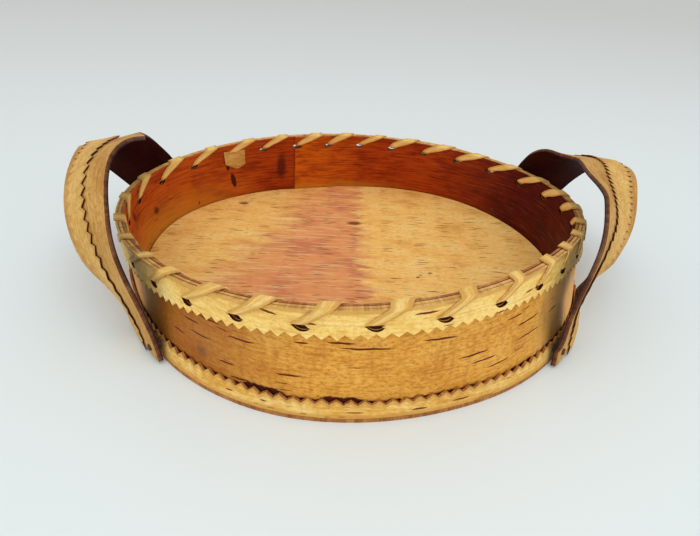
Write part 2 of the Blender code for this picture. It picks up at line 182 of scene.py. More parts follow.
class Graph:
    """The nodes of one material."""

    def __init__(self, name: str) -> None:
        """Start a material with an empty node tree.

        Args:
            name: Name of the new material.
        """
        self.material = bpy.data.materials.new(name)
        self.material.use_nodes = True
        self.tree = self.material.node_tree
        self.tree.nodes.clear()

    def node(self, kind: str, settings: Optional[Dict] = None, inputs: Optional[Dict] = None,
             output: Union[int, str] = 0) -> Optional[Wire]:
        """Add one node.

        Args:
            kind: Node type after the word ShaderNode.
            settings: Values of the node itself; "stops" are a colour ramp's places and tints.
            inputs: Values or wires of its sockets, by name or number.
            output: Name or number of the output that is returned.

        Returns:
            The wire that leaves the node, or None where nothing leaves it.
        """
        node = self.tree.nodes.new("ShaderNode" + kind)
        for name, value in (settings or {}).items():
            if name == "stops":
                self._set_stops(node.color_ramp, value)
            else:
                setattr(node, name, value)
        for key, value in (inputs or {}).items():
            if isinstance(value, Wire):
                self.tree.links.new(value.socket, node.inputs[key])
            else:
                node.inputs[key].default_value = value
        return Wire(self, node.outputs[output]) if len(node.outputs) else None

    @staticmethod
    def _set_stops(ramp: bpy.types.ColorRamp, stops: Sequence[Tuple[float, Tint]]) -> None:
        """Give a colour ramp its stops.

        Args:
            ramp: The colour ramp.
            stops: Place from 0 to 1 and tint of each stop, in rising order.
        """
        while len(ramp.elements) < len(stops):
            ramp.elements.new(1.0)
        for element, (place, tint) in zip(ramp.elements, stops):
            element.position = place
            element.color = linear(tint)

    def math(self, operation: str, *values: Value) -> Wire:
        """Return the result of a Math node on numbers."""
        return self.node("Math", {"operation": operation}, dict(enumerate(values)))

    def vector(self, operation: str, *values: Value) -> Wire:
        """Return the result of a Vector Math node."""
        output = "Value" if operation in ("LENGTH", "DOT_PRODUCT", "DISTANCE") else "Vector"
        return self.node("VectorMath", {"operation": operation}, dict(enumerate(values)), output)

    def mix(self, share: Value, low: Value, high: Value, blend: str = "MIX") -> Wire:
        """Return a colour between two others.

        Args:
            share: How much of the second colour shows.
            low: First colour.
            high: Second colour.
            blend: Blend type of the Mix node.

        Returns:
            The mixed colour.
        """
        return self.node("Mix", {"data_type": "RGBA", "blend_type": blend},
                         {0: share, 6: low, 7: high}, 2)

    def wash(self, cover: Value, colour: Value, tint: Tint) -> Wire:
        """Return a colour with a display colour laid over it by a mask."""
        return self.mix(cover, colour, linear(tint))

    def flat(self, place: Wire) -> Wire:
        """Return a place on the bark without its distance from the edge."""
        return self.vector("MULTIPLY", place, (1, 1, 0))

    def axes(self, place: Wire) -> Tuple[Wire, Wire, Wire]:
        """Return a place's parts: along the bark, across it, and from its edge."""
        along = self.node("SeparateXYZ", {}, {0: place}, "X")
        return along, along.other("Y"), along.other("Z")

    def fade(self, value: Wire, low: float, high: float, start: float = 0.0,
             stop: float = 1.0) -> Wire:
        """Return a smooth step of a value between two limits.

        Args:
            value: What is read.
            low: Value at which the step starts.
            high: Value at which it ends.
            start: Result before the step.
            stop: Result after it.

        Returns:
            The stepped value.
        """
        return self.node("MapRange", {"interpolation_type": "SMOOTHSTEP"},
                         {"Value": value, "From Min": low, "From Max": high,
                          "To Min": start, "To Max": stop})

    def noise(self, place: Wire, spread: Sequence[float], detail: float = 2.0,
              roughness: float = 0.5) -> Wire:
        """Return soft noise whose spots have their own size each way.

        Args:
            place: Where the noise is read.
            spread: Size of the spots along, across and through the bark, in metres.
            detail: Octaves of the noise.
            roughness: Weight of the finer octaves.

        Returns:
            A value about 0.5.
        """
        scaled = self.vector("DIVIDE", place, spread)
        return self.node("TexNoise", {}, {"Vector": scaled, "Scale": 1.0, "Detail": detail,
                                          "Roughness": roughness}, "Fac")

    def finish(self, shader: Wire) -> bpy.types.Material:
        """Connect a shader to the material's output and return the material."""
        self.node("OutputMaterial", {}, {"Surface": shader})
        return self.material


@dataclass(frozen=True)
class Flecks:
    """Scattered lens-shaped lenticels of one size.

    They lie in cells of pitch by row; share is how many of the cells hold one.
    """

    pitch: float
    row: float
    length: float
    share: float
    strength: float = 1.0

    def mask(self, graph: Graph, place: Wire) -> Wire:
        """Return how much of a fleck shows at each place.

        Args:
            graph: Graph of the material.
            place: Flat place on the bark.

        Returns:
            The flecks' strength inside them and 0 away from them.
        """
        cell = graph.node("TexVoronoi", {"voronoi_dimensions": "2D", "feature": "F1"},
                          {"Vector": graph.vector("DIVIDE", place, (self.pitch, self.row, 1)),
                           "Scale": 1.0, "Randomness": 1.0}, "Distance")
        chance = graph.node("SeparateColor", {}, {"Color": cell.other("Color")}, "Red")
        size = chance.other("Green") * 0.75 + 0.25
        away = cell / (size * (self.length / self.pitch))
        return graph.fade(away, 1.0, 0.55) * (chance < self.share) * self.strength


@dataclass(frozen=True)
class Mark:
    """One lenticel, slit, smudge, knot or patch of painted shade at its own place on the bark.

    Places and sizes are in millimetres, along the bark and across it, and tilt is in degrees.
    """

    along: float
    across: float
    half_length: float
    half_height: float
    tilt: float = 0.0

    def reach(self, graph: Graph, place: Wire) -> Wire:
        """Measure how far a place lies from the mark.

        Args:
            graph: Graph of the material.
            place: Flat place on the bark.

        Returns:
            The distance from the mark's middle, 1 at its outline.
        """
        inside = graph.node("Mapping", {"vector_type": "TEXTURE"},
                            {"Vector": place,
                             "Location": (self.along * MM, self.across * MM, 0),
                             "Rotation": (0, 0, math.radians(self.tilt)),
                             "Scale": (self.half_length * MM, self.half_height * MM, 1)})
        return graph.vector("LENGTH", inside)


def marks_mask(graph: Graph, place: Wire, marks: Sequence[Mark], soft: float = 0.5) -> Wire:
    """Combine marks into one mask.

    Args:
        graph: Graph of the material.
        place: Flat place on the bark.
        marks: The marks.
        soft: Share of a mark's reach over which it fades out.

    Returns:
        1 inside the marks and 0 away from them.
    """
    nearest = marks[0].reach(graph, place)
    for mark in marks[1:]:
        nearest = nearest & mark.reach(graph, place)
    return graph.fade(nearest, 1.0, 1.0 - soft)


@dataclass(frozen=True)
class BarkFinish:
    """Look of one face of a bark sheet.

    Plain is its commonest colour, with paler and deeper blotches of one size; flecks and marks
    are its lenticels. Each spread is the size of a noise's spots along, across and through the
    bark, and relief is the height of the bump. All sizes are in metres.
    """

    plain: Tint
    pale: Tint
    deep: Tint
    fleck: Tint
    flecks: Tuple[Flecks, ...] = ()
    marks: Tuple[Mark, ...] = ()
    mark_softness: float = 0.35
    blotch: float = 0.014
    contrast: float = 0.6
    speckle: float = 0.6
    roughness: float = 0.62
    roughness_reach: float = 0.07
    specular: float = 0.16
    relief: float = 0.00048
    bump_strength: float = 0.6
    fleck_depth: float = 1.2
    waver: float = 0.0012
    edge_tint: Optional[Tint] = None
    edge_width: float = 0.0012
    edge_cover: float = 0.7
    fibre_spread: Place = (0.018, 0.0011, 1)
    speck_spread: Place = (0.0026, 0.0014, 1)
    waver_spread: Place = (0.006, 0.006, 1)
    wear_spread: Place = (0.008, 0.004, 1)
    relief_spread: Place = (0.010, 0.0009, 1)
    pit_spread: Place = (0.0016, 0.0014, 1)

    def ground(self, graph: Graph, flat: Wire) -> Wire:
        """Paint the bark without its marks.

        Args:
            graph: Graph of the material.
            flat: Flat place on the bark.

        Returns:
            The colour with its blotches, fibres and specks.
        """
        blotches = graph.noise(flat, (self.blotch * 2, self.blotch, 1), 3, 0.6)
        fibres = graph.noise(flat, self.fibre_spread, 3, 0.6)
        specks = graph.noise(flat, self.speck_spread, 4, 0.8)
        colour = graph.mix(graph.fade(blotches, 0.42, 0.72) * self.contrast,
                           linear(self.plain), linear(self.pale))
        for source, low, high, cover, tint in (
                (blotches, 0.50, 0.24, self.contrast, self.deep),
                (fibres, 0.48, 0.75, self.contrast * 0.8, self.deep),
                (fibres, 0.50, 0.25, self.contrast * 0.5, self.pale),
                (specks, 0.48, 0.64, self.speckle, self.deep),
                (specks, 0.48, 0.34, self.speckle, self.pale)):
            colour = graph.wash(graph.fade(source, low, high) * cover, colour, tint)
        return colour

    def paint(self, graph: Graph, place: Wire, colour: Wire) -> Wire:
        """Return the colour with what only this finish has; plain bark adds nothing."""
        return colour

    def dark_mask(self, graph: Graph, flat: Wire) -> Optional[Wire]:
        """Gather the flecks and the marks.

        Args:
            graph: Graph of the material.
            flat: Flat place on the bark.

        Returns:
            One mask of them all, or None where the finish has none.
        """
        waver = graph.noise(flat, self.waver_spread, 2) - 0.5
        drift = graph.node("CombineXYZ", {}, {"Y": waver * self.waver})
        bent = graph.vector("ADD", flat, drift)
        masks = [kind.mask(graph, bent) for kind in self.flecks]
        if self.marks:
            masks.append(marks_mask(graph, bent, self.marks, self.mark_softness))
        if not masks:
            return None
        dark = masks[0]
        for mask in masks[1:]:
            dark = dark | mask
        return dark

    def make(self, name: str) -> bpy.types.Material:
        """Build the material.

        Args:
            name: Name of the material.

        Returns:
            The material, which reads each sheet's own places along and across its bark.
        """
        graph = Graph(name)
        place = graph.node("Attribute", {"attribute_name": PLACE}, {}, "Vector")
        flat = graph.flat(place)
        colour = self.paint(graph, place, self.ground(graph, flat))
        dark = self.dark_mask(graph, flat)
        if dark is not None:
            colour = graph.wash(dark, colour, self.fleck)
        if self.edge_tint:
            _, _, edge = graph.axes(place)
            wear = graph.noise(flat, self.wear_spread, 2) * self.edge_width * 2
            worn = graph.fade(edge - wear, self.edge_width, 0.0)
            colour = graph.wash(worn * self.edge_cover, colour, self.edge_tint)
        relief = graph.noise(flat, self.relief_spread, 4, 0.65)
        height = relief + graph.noise(flat, self.pit_spread, 2) * 0.5
        if dark is not None:
            height = height - dark * self.fleck_depth
        bump = graph.node("Bump", {}, {"Height": height, "Distance": self.relief,
                                       "Strength": self.bump_strength}, "Normal")
        rough = graph.fade(relief, 0.3, 0.7, self.roughness - self.roughness_reach,
                           self.roughness + self.roughness_reach)
        shader = graph.node("BsdfPrincipled", {}, {
            "Base Color": colour, "Roughness": rough, "Normal": bump,
            "Specular IOR Level": self.specular})
        return graph.finish(shader)


def unrolled(azimuth: float, seam: float) -> float:
    """Return the millimetres along the wall from its front to an azimuth.

    Args:
        azimuth: Direction from the basket's middle in degrees, 0 at +X and 90 at the back.
        seam: Azimuth at which the sheet starts and ends.

    Returns:
        The length in millimetres, with a negative sign to the left of the front.
    """
    turned = (azimuth - seam) % 360.0 + seam
    return math.radians(turned - FRONT_DEG) * Outline.rim_radius / MM


def wall_marks(rows: Sequence[Tuple[float, float, float, float, float]],
               seam: float) -> Tuple[Mark, ...]:
    """Turn rows of numbers into marks on a wall.

    Args:
        rows: Azimuth, height, half length, half height and tilt of each mark.
        seam: Azimuth at which the sheet starts and ends.

    Returns:
        The marks.
    """
    return tuple(Mark(unrolled(azimuth, seam), height, length, tall * MARK_SWELL, tilt)
                 for azimuth, height, length, tall, tilt in rows)


@dataclass(frozen=True)
class WallFinish(BarkFinish):
    """Outer wall face: darker to the left, painted shade over the lower band, painted light by the
    handles.
    """

    smudges: Tuple[Mark, ...] = ()
    gap_shade_patches: Tuple[Mark, ...] = ()
    gap_shade: Tint = (72, 22, 12)
    far: Tint = (144, 64, 12)
    handle_painted_light: Tint = (250, 184, 106)
    smudge_tint: Tint = (96, 66, 44)
    far_start: float = -0.01
    far_stop: float = -0.07
    painted_light_shift: float = 0.004
    painted_light_start: float = 0.086
    painted_light_stop: float = 0.112
    gap_shade_height: float = 0.0101
    gap_shade_depth: float = 0.0012
    gap_shade_ragged: float = 0.0042
    gap_shade_patch_height: float = 0.0019

    def paint(self, graph: Graph, place: Wire, colour: Wire) -> Wire:
        """Add the deeper left, a smudge, painted light by the handles, painted shade over the lower
        band.

        Args:
            graph: Graph of the material.
            place: Place on the bark with its distance from the edge.
            colour: Colour of the plain bark.

        Returns:
            The painted colour.
        """
        along, height, _ = graph.axes(place)
        flat = graph.flat(place)
        colour = graph.wash(graph.fade(along, self.far_start, self.far_stop) * 0.7, colour,
                            self.far)
        # Painted light: the wall is made paler near both handles, where the handles shade it.
        away = graph.math("ABSOLUTE", along + self.painted_light_shift)
        colour = graph.wash(graph.fade(away, self.painted_light_start, self.painted_light_stop) * 0.75, colour,
                            self.handle_painted_light)
        upright = graph.noise(place, (0.004, 0.020, 1), 2)
        colour = graph.wash(graph.fade(upright, 0.5, 0.75) * 0.35, colour, self.deep)
        if self.smudges:
            haze = marks_mask(graph, flat, self.smudges, 0.9) * graph.noise(flat, (0.004, 0.003, 1))
            colour = graph.wash(haze * 1.1, colour, self.smudge_tint)
        # Painted shade in the gap behind the lower band's lifted teeth: a ragged dark line above
        # the band, with patches.
        ragged = graph.noise(flat, (0.006, 0.004, 1), 3, 0.7) - 0.5
        low = height - ragged * self.gap_shade_ragged
        low = low - marks_mask(graph, flat, self.gap_shade_patches) * self.gap_shade_patch_height
        gap_shade = graph.fade(low, self.gap_shade_height + self.gap_shade_depth * 0.6,
                           self.gap_shade_height - self.gap_shade_depth * 0.3)
        return graph.wash(gap_shade, colour, self.gap_shade)


@dataclass(frozen=True)
class BandFinish(BarkFinish):
    """Upper band, with painted shade in a slit through each lacing hole."""

    slit_shade: Tint = (110, 50, 22)
    slit_length: float = 0.0046
    slit_height: float = 0.0006

    def paint(self, graph: Graph, place: Wire, colour: Wire) -> Wire:
        """Add the painted shade of the slits, at the same places as the holes.

        Args:
            graph: Graph of the material.
            place: Place on the bark with its distance from the edge.
            colour: Colour of the plain bark.

        Returns:
            The painted colour.
        """
        along, _, under_rim = graph.axes(place)
        shape = WallSet
        angle = along / Outline.rim_radius + math.radians(FRONT_DEG)
        even = angle + graph.math("SINE", angle) * math.radians(shape.hole_drift)
        pitch = math.tau / shape.hole_count
        phase = (even - math.radians(shape.first_hole)) / pitch + 0.5
        near = (graph.math("FRACT", phase) - 0.5) * (pitch * Outline.rim_radius)
        below = under_rim - near * shape.hole_tilt - shape.hole_drop
        spot = graph.node("CombineXYZ", {}, {0: near / self.slit_length,
                                             1: below / self.slit_height})
        reach = graph.vector("LENGTH", spot)
        # Painted shade in the slit at each lacing hole.
        return graph.wash(graph.fade(reach, 1.0, 0.6), colour, self.slit_shade)


@dataclass(frozen=True)
class LiningFinish(BarkFinish):
    """Inner face of the wall, orange at the left; the deep maroon at the right is partly painted
    shade.

    Tones are its colours from start to stop, which are places along the sheet.
    """

    tones: Tuple[Tuple[float, Tint], ...] = ()
    start: float = -0.3403
    stop: float = 0.4450
    glow: Tint = (206, 132, 36)
    cloud_tint: Tint = (205, 165, 160)
    streak_tint: Tint = (180, 130, 120)
    streak_light: Tint = (90, 60, 20)
    glow_low: float = 0.003
    foot_high: float = 0.026
    back_high: float = 0.012
    smears: Tuple[Mark, ...] = ()

    def paint(self, graph: Graph, place: Wire, colour: Wire) -> Wire:
        """Add the slow change of colour round the basket and the golden foot of the sheet.

        Args:
            graph: Graph of the material.
            place: Place on the bark with its distance from the edge.
            colour: Colour of the plain bark, which the tones cover.

        Returns:
            The painted colour.
        """
        along, height, _ = graph.axes(place)
        flat = graph.flat(place)
        turn = (along - self.start) / (self.stop - self.start)
        # The maroon stretch of these tones is partly painted shade behind the right handle.
        tone = graph.node("ValToRGB", {"stops": self.tones}, {"Fac": turn}, "Color")
        cloud = graph.noise(flat, (0.022, 0.010, 1), 3, 0.6)
        streak = graph.noise(flat, (0.016, 0.0012, 1), 3, 0.6)
        for source, low, high, cover, tint, blend in (
                (cloud, 0.44, 0.68, 0.8, self.cloud_tint, "MULTIPLY"),
                (streak, 0.46, 0.66, 0.7, self.streak_tint, "MULTIPLY"),
                (streak, 0.46, 0.30, 0.5, self.streak_light, "ADD")):
            changed = graph.mix(1.0, tone, linear(tint), blend)
            tone = graph.mix(graph.fade(source, low, high) * cover, tone, changed)
        foot = graph.fade(height, self.foot_high, self.glow_low) * graph.fade(turn, 0.60, 0.40)
        foot = foot * graph.fade(turn, 0.02, 0.14)
        back = graph.fade(height, self.back_high, self.glow_low) * graph.fade(turn, 0.86, 0.96)
        tone = graph.wash((foot | back) * 0.7, tone, self.glow)
        if self.smears:
            smeared = marks_mask(graph, flat, self.smears, 0.7)
            tone = graph.wash(smeared * 0.85, tone, self.fleck)
        return tone


@dataclass(frozen=True)
class FloorFinish(BarkFinish):
    """Upper face of the floor, with a salmon field, pale scratches and knots.

    Each edge of the field is the pair of places between which it fades in.
    """

    salmon: Tint = (232, 146, 92)
    flush: Tint = (202, 108, 76)
    cream: Tint = (243, 200, 140)
    knots: Tuple[Mark, ...] = ()
    knot_tint: Tint = (128, 66, 34)
    left_edge: Tuple[float, float] = (-0.080, -0.040)
    right_edge: Tuple[float, float] = (0.014, 0.002)
    left_ragged: float = 0.09
    right_ragged: float = 0.05

    def paint(self, graph: Graph, place: Wire, colour: Wire) -> Wire:
        """Add the salmon field with its streaks, the pale scratches and the knots.

        Args:
            graph: Graph of the material.
            place: Place on the bark with its distance from the edge.
            colour: Colour of the plain bark.

        Returns:
            The painted colour.
        """
        flat = graph.flat(place)
        across, depth, _ = graph.axes(place)
        ragged = graph.noise(flat, (0.030, 0.007, 1), 3, 0.6) - 0.5
        left = graph.fade(across - depth * 0.3 + ragged * self.left_ragged, *self.left_edge)
        right = graph.fade(across + depth * 0.06 + ragged * self.right_ragged, *self.right_edge)
        streaks = graph.noise(flat, (0.030, 0.0018, 1), 3, 0.7)
        clouds = graph.noise(flat, (0.030, 0.020, 1), 3, 0.6)
        salmon = graph.mix(graph.fade(clouds, 0.4, 0.65), linear(self.salmon),
                           linear(self.flush))
        salmon = graph.wash(graph.fade(streaks, 0.50, 0.66) * 0.8, salmon, self.cream)
        gaps = graph.fade(clouds, 0.62, 0.74)
        colour = graph.mix(left * right * (1 - gaps) * 0.9, colour, salmon)
        fine = graph.noise(flat, (0.024, 0.0007, 1), 2, 0.6)
        colour = graph.wash(graph.fade(fine, 0.63, 0.75) * 0.35, colour, self.cream)
        if self.knots:
            knots = marks_mask(graph, flat, self.knots, 0.6)
            colour = graph.wash(knots * 0.95, colour, self.knot_tint)
        return colour


@dataclass(frozen=True)
class WoodFinish:
    """Cut birch of the pegs, dark from handling."""

    plain: Tint
    deep: Tint
    ring_size: float = 0.0006
    relief: float = 0.0001
    bump_strength: float = 0.5
    roughness: float = 0.6

    def make(self, name: str) -> bpy.types.Material:
        """Build the material with fine end grain.

        Args:
            name: Name of the material.

        Returns:
            The material.
        """
        graph = Graph(name)
        place = graph.node("TexCoord", {}, {}, "Object")
        rings = graph.noise(place, (self.ring_size,) * 3, 3, 0.6)
        colour = graph.mix(graph.fade(rings, 0.35, 0.65), linear(self.plain), linear(self.deep))
        bump = graph.node("Bump", {}, {"Height": rings, "Distance": self.relief,
                                       "Strength": self.bump_strength}, "Normal")
        shader = graph.node("BsdfPrincipled", {}, {"Base Color": colour, "Normal": bump,
                                                   "Roughness": self.roughness})
        return graph.finish(shader)


@dataclass(frozen=True)
class Outline:
    """Hand-bent outline that the wall, the bands, the lacing and the floor follow."""

    rim_radius: float = 0.1250
    base_radius: float = 0.1264
    base_shift: Tuple[float, float] = (0.0012, -0.0011)
    wall_height: float = 0.0444
    seat_gap: float = 0.00035
    base_thickness: float = 0.0018
    wall_thickness: float = 0.0015
    lining_thickness: float = 0.0012
    band_thickness: float = 0.0011
    lap_length: float = 0.025
    lap_ramp: float = 0.012
    wall_seam: float = 66.0
    lining_seam: float = 114.0
    band_seam: float = 37.0
    ripple: float = 0.0005
    ripples_round: float = 2.6
    ripples_up: float = 0.9
    rim_plan_shares: Waves = ((2, 0.036, 0.017), (3, -0.020, 0.048), (4, 0.009, -0.002))
    base_plan_shares: Waves = ((2, 0.001, 0.002), (3, -0.005, 0.015), (4, -0.006, -0.015))
    rim_height_shares: Waves = ((1, 0.070, -0.085), (2, -0.110, -0.082))

    @property
    def foot(self) -> float:
        """Height at which the wall and the bands stand on the base."""
        return self.base_thickness + self.seat_gap

    @property
    def wall_depth(self) -> float:
        """Depth of the wall's outer face behind the bands' outer face."""
        return self.band_thickness + self.seat_gap

    @property
    def lining_depth(self) -> float:
        """Depth of the lining's outer face."""
        return self.wall_depth + self.wall_thickness + self.seat_gap

    @property
    def full_depth(self) -> float:
        """Depth of the lining's inner face."""
        return self.lining_depth + self.lining_thickness

    def rim_height(self, angle: float) -> float:
        """Return the height of the sheets' upper edge above the table."""
        return self.wall_height * wave(angle, self.rim_height_shares)

    def arc(self, length: float) -> float:
        """Return the angle of an arc of this length on the wall."""
        return length / self.rim_radius

    def along(self, angle: float) -> float:
        """Return the length along the wall from its front to an angle."""
        return (angle - math.radians(FRONT_DEG)) * self.rim_radius

    def lap_window(self, angle: float, seam: float, margin: float = 0.0) -> float:
        """Tell where a lap doubles its sheet.

        Args:
            angle: Direction from the middle in radians.
            seam: Azimuth of the lap's upper end in degrees.
            margin: Length by which the window is wider at each side.

        Returns:
            1 at the lap and 0 away from it, with an even ramp on each side.
        """
        half = self.arc(self.lap_length) / 2
        away = abs(math.remainder(angle - math.radians(seam) + half, math.tau))
        beyond = away - half - self.arc(margin)
        return clamp(1 - beyond / self.arc(self.lap_ramp))

    def wall_bump(self, angle: float, margin: float = 0.0) -> float:
        """Return how far the wall's lap pushes what lies outside it."""
        return (self.wall_thickness + self.seat_gap) * self.lap_window(angle, self.wall_seam,
                                                                      margin)

    def lining_bump(self, angle: float, margin: float = 0.0) -> float:
        """Return how far the lining's lap stands in from the lining."""
        return (self.lining_thickness + self.seat_gap) * self.lap_window(
            angle, self.lining_seam, margin)

    def skin(self, angle: float, height: float, depth: float) -> Vector:
        """Return the point at a depth inside the bands' outer face.

        Args:
            angle: Direction from the middle in radians.
            height: Height above the table.
            depth: Distance in from the bands' outer face.

        Returns:
            The point.
        """
        rise = height / self.rim_height(angle)
        base = self.base_radius * wave(angle, self.base_plan_shares)
        rim = self.rim_radius * wave(angle, self.rim_plan_shares)
        swell = noise.noise(Vector((self.ripples_round * math.cos(angle),
                                    self.ripples_round * math.sin(angle),
                                    self.ripples_up * rise)))
        radius = base + (rim - base) * rise - depth + self.ripple * swell
        x = radius * math.cos(angle) + self.base_shift[0] * (1 - rise)
        y = radius * math.sin(angle) + self.base_shift[1] * (1 - rise)
        return Vector((x, y, height))

    def frame_at(self, angle: float, height: float, depth: float) -> Tuple[Vector, ...]:
        """Find a point of the wall and how the wall lies there.

        Args:
            angle: Direction from the middle in radians.
            height: Height above the table.
            depth: Distance in from the bands' outer face.

        Returns:
            The point and the wall's directions along, up and outward.
        """
        here = self.skin(angle, height, depth)
        nudge = self.arc(self.seat_gap)
        along = (self.skin(angle + nudge, height, depth) - here).normalized()
        up = (self.skin(angle, height + self.seat_gap, depth) - here).normalized()
        return here, along, up, along.cross(up).normalized()


class Shop:
    """Turns grids of points into finished pieces of bark."""

    @staticmethod
    def link(name: str, data: bpy.types.ID) -> bpy.types.Object:
        """Put an object with this data into the scene.

        Args:
            name: Name of the object.
            data: Its mesh, camera or light.

        Returns:
            The new object.
        """
        obj = bpy.data.objects.new(name, data)
        bpy.context.scene.collection.objects.link(obj)
        return obj

    @staticmethod
    def from_bmesh(name: str, bm: bmesh.types.BMesh,
                   materials: Sequence[bpy.types.Material]) -> bpy.types.Object:
        """Make an object of a mesh under construction, which is freed.

        Args:
            name: Name of the object and its mesh.
            bm: The mesh under construction.
            materials: Its materials.

        Returns:
            The new object.
        """
        mesh = bpy.data.meshes.new(name)
        bm.to_mesh(mesh)
        bm.free()
        for material in materials:
            mesh.materials.append(material)
        return Shop.link(name, mesh)

    @staticmethod
    def sheet(name: str, points: Grid, places: Grid, materials: Sequence[bpy.types.Material],
              flip: bool = False) -> bpy.types.Object:
        """Lay an open sheet through rows of points.

        Args:
            name: Name of the piece.
            points: Rows of points; the front looks along row direction cross column direction.
            places: Place along the bark, across it, and distance from its edge, by point.
            materials: Materials of its faces, of its edge, and of the holes where it has any.
            flip: Whether the front looks the other way.

        Returns:
            The new object.
        """
        rows, columns = len(points), len(points[0])
        faces = []
        for i in range(rows - 1):
            for j in range(columns - 1):
                a = i * columns + j
                quad = (a, a + 1, a + columns + 1, a + columns)
                faces.append(quad[::-1] if flip else quad)
        return Shop.piece(name, points, places, faces, materials)

    @staticmethod
    def tube(name: str, rings: Grid, places: Grid, slots: Sequence[int],
             materials: Sequence[bpy.types.Material]) -> bpy.types.Object:
        """Join sections into a closed strip.

        Args:
            name: Name of the piece.
            rings: Sections of the strip, each a ring of points.
            places: Place along the bark, across it, and distance from its edge, by point.
            slots: Number of the material of each side of the rings; the ends take number 1.
            materials: The materials, counted from 0.

        Returns:
            The new object.
        """
        size = len(rings[0])
        last = (len(rings) - 1) * size
        faces = [tuple(range(size)), tuple(range(last, last + size))]
        numbers = [1, 1]
        for i in range(len(rings) - 1):
            for j, slot in enumerate(slots):
                a, b = i * size + j, i * size + (j + 1) % size
                faces.append((a, b, b + size, a + size))
                numbers.append(slot)
        obj = Shop.piece(name, rings, places, faces, materials)
        obj.data.polygons.foreach_set("material_index", numbers)
        bm = bmesh.new()
        bm.from_mesh(obj.data)
        bmesh.ops.recalc_face_normals(bm, faces=bm.faces)
        bm.to_mesh(obj.data)
        bm.free()
        return obj

    @staticmethod
    def piece(name: str, points: Grid, places: Grid, faces: Sequence[Tuple[int, ...]],
              materials: Sequence[bpy.types.Material]) -> bpy.types.Object:
        """Make an object that keeps the places on its bark in flat layers until it is settled.

        Args:
            name: Name of the piece.
            points: Rows of points.
            places: Place along the bark, across it, and distance from its edge, by point.
            faces: Corners of each face, as numbers of the points.
            materials: The materials.

        Returns:
            The new object.
        """
        mesh = bpy.data.meshes.new(name)
        mesh.from_pydata([tuple(point) for row in points for point in row], [], faces)
        corners = np.zeros(len(mesh.loops), dtype=int)
        mesh.loops.foreach_get("vertex_index", corners)
        table = np.array([tuple(place) for row in places for place in row])[corners]
        for layer, first in PLACE_LAYERS:
            pair = np.zeros((len(corners), 2))
            pair[:, :3 - first] = table[:, first:first + 2]
            mesh.uv_layers.new(name=layer).data.foreach_set("uv", pair.ravel())
        for material in materials:
            mesh.materials.append(material)
        return Shop.link(name, mesh)

    @staticmethod
    def thicken(obj: bpy.types.Object, thickness: float) -> None:
        """Give an open sheet its thickness behind its front, with its second material as edge.

        Args:
            obj: The sheet.
            thickness: Thickness of the bark.
        """
        solid = obj.modifiers.new("thickness", "SOLIDIFY")
        solid.thickness = thickness
        solid.offset = -1
        solid.use_even_offset = True
        solid.material_offset_rim = 1

    @staticmethod
    def cut(obj: bpy.types.Object, cutter: bpy.types.Object) -> None:
        """Cut a sheet with another object.

        Args:
            obj: The sheet.
            cutter: What is taken out of it.
        """
        tool = obj.modifiers.new("holes", "BOOLEAN")
        tool.operation = "DIFFERENCE"
        tool.object = cutter

    @staticmethod
    def settle(obj: bpy.types.Object, sharp: float = 40.0) -> bpy.types.Object:
        """Apply a piece's modifiers and shade it.

        Args:
            obj: The piece.
            sharp: Angle in degrees above which an edge stays sharp.

        Returns:
            The same object with its final mesh.
        """
        graph = bpy.context.evaluated_depsgraph_get()
        mesh = bpy.data.meshes.new_from_object(obj.evaluated_get(graph), depsgraph=graph)
        old = obj.data
        obj.modifiers.clear()
        obj.data = mesh
        bpy.data.meshes.remove(old)
        mesh.name = obj.name
        table = np.zeros((len(mesh.loops), 3))
        for layer, first in PLACE_LAYERS:
            pair = np.zeros(2 * len(mesh.loops))
            mesh.uv_layers[layer].data.foreach_get("uv", pair)
            table[:, first:first + 2] = pair.reshape(-1, 2)[:, :3 - first]
            mesh.uv_layers.remove(mesh.uv_layers[layer])
        mesh.attributes.new(PLACE, "FLOAT_VECTOR", "CORNER").data.foreach_set("vector",
                                                                              table.ravel())
        mesh.shade_smooth()
        mesh.set_sharp_from_angle(angle=math.radians(sharp))
        return obj

    @staticmethod
    def deliver(obj: bpy.types.Object, slot: Slot, *nodes: str) -> None:
        """Hand a finished piece to the frame.

        Args:
            obj: The piece.
            slot: Material slot of the record for this piece; not used.
            nodes: Plain solids that it stands for.
        """
        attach(obj, "root")
        if nodes:
            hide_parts(*nodes)
        LOG.info("%s: %d faces", obj.name, len(obj.data.polygons))


# Marks on the bark. Each row holds the azimuth in degrees, which is -90 at the front, the height
# above the table, the half length and the half height in millimetres, and the tilt in degrees.
OUTER_MARKS = (
    (-86.9, 35.6, 11.8, 0.42, 0), (-73.9, 37.5, 8.5, 0.45, -3), (-97.9, 36.0, 3.2, 0.40, 6),
    (-91.2, 37.9, 5.8, 0.42, 3), (-100.4, 20.0, 5.9, 0.42, 3), (-66.0, 25.6, 8.4, 0.40, 1),
    (-63.6, 21.4, 7.8, 0.38, 0), (-59.8, 16.6, 7.2, 0.36, 3), (-56.6, 36.6, 6.0, 0.36, -3),
    (-51.0, 24.0, 9.6, 0.30, 0), (-51.6, 31.1, 9.6, 0.32, 1), (-109.4, 30.2, 7.4, 0.40, 4),
    (-112.8, 17.0, 4.8, 0.36, 3), (-110.1, 11.7, 5.2, 0.36, 5), (-117.0, 33.0, 7.0, 0.30, 2),
    (-122.0, 28.5, 6.0, 0.30, 2), (-119.5, 24.0, 7.5, 0.28, 3), (-126.0, 20.0, 5.0, 0.30, 2),
    (-41.0, 27.0, 5.0, 0.30, 0),
)
SMUDGES = ((-119.0, 17.0, 5.0, 3.6, -10),)
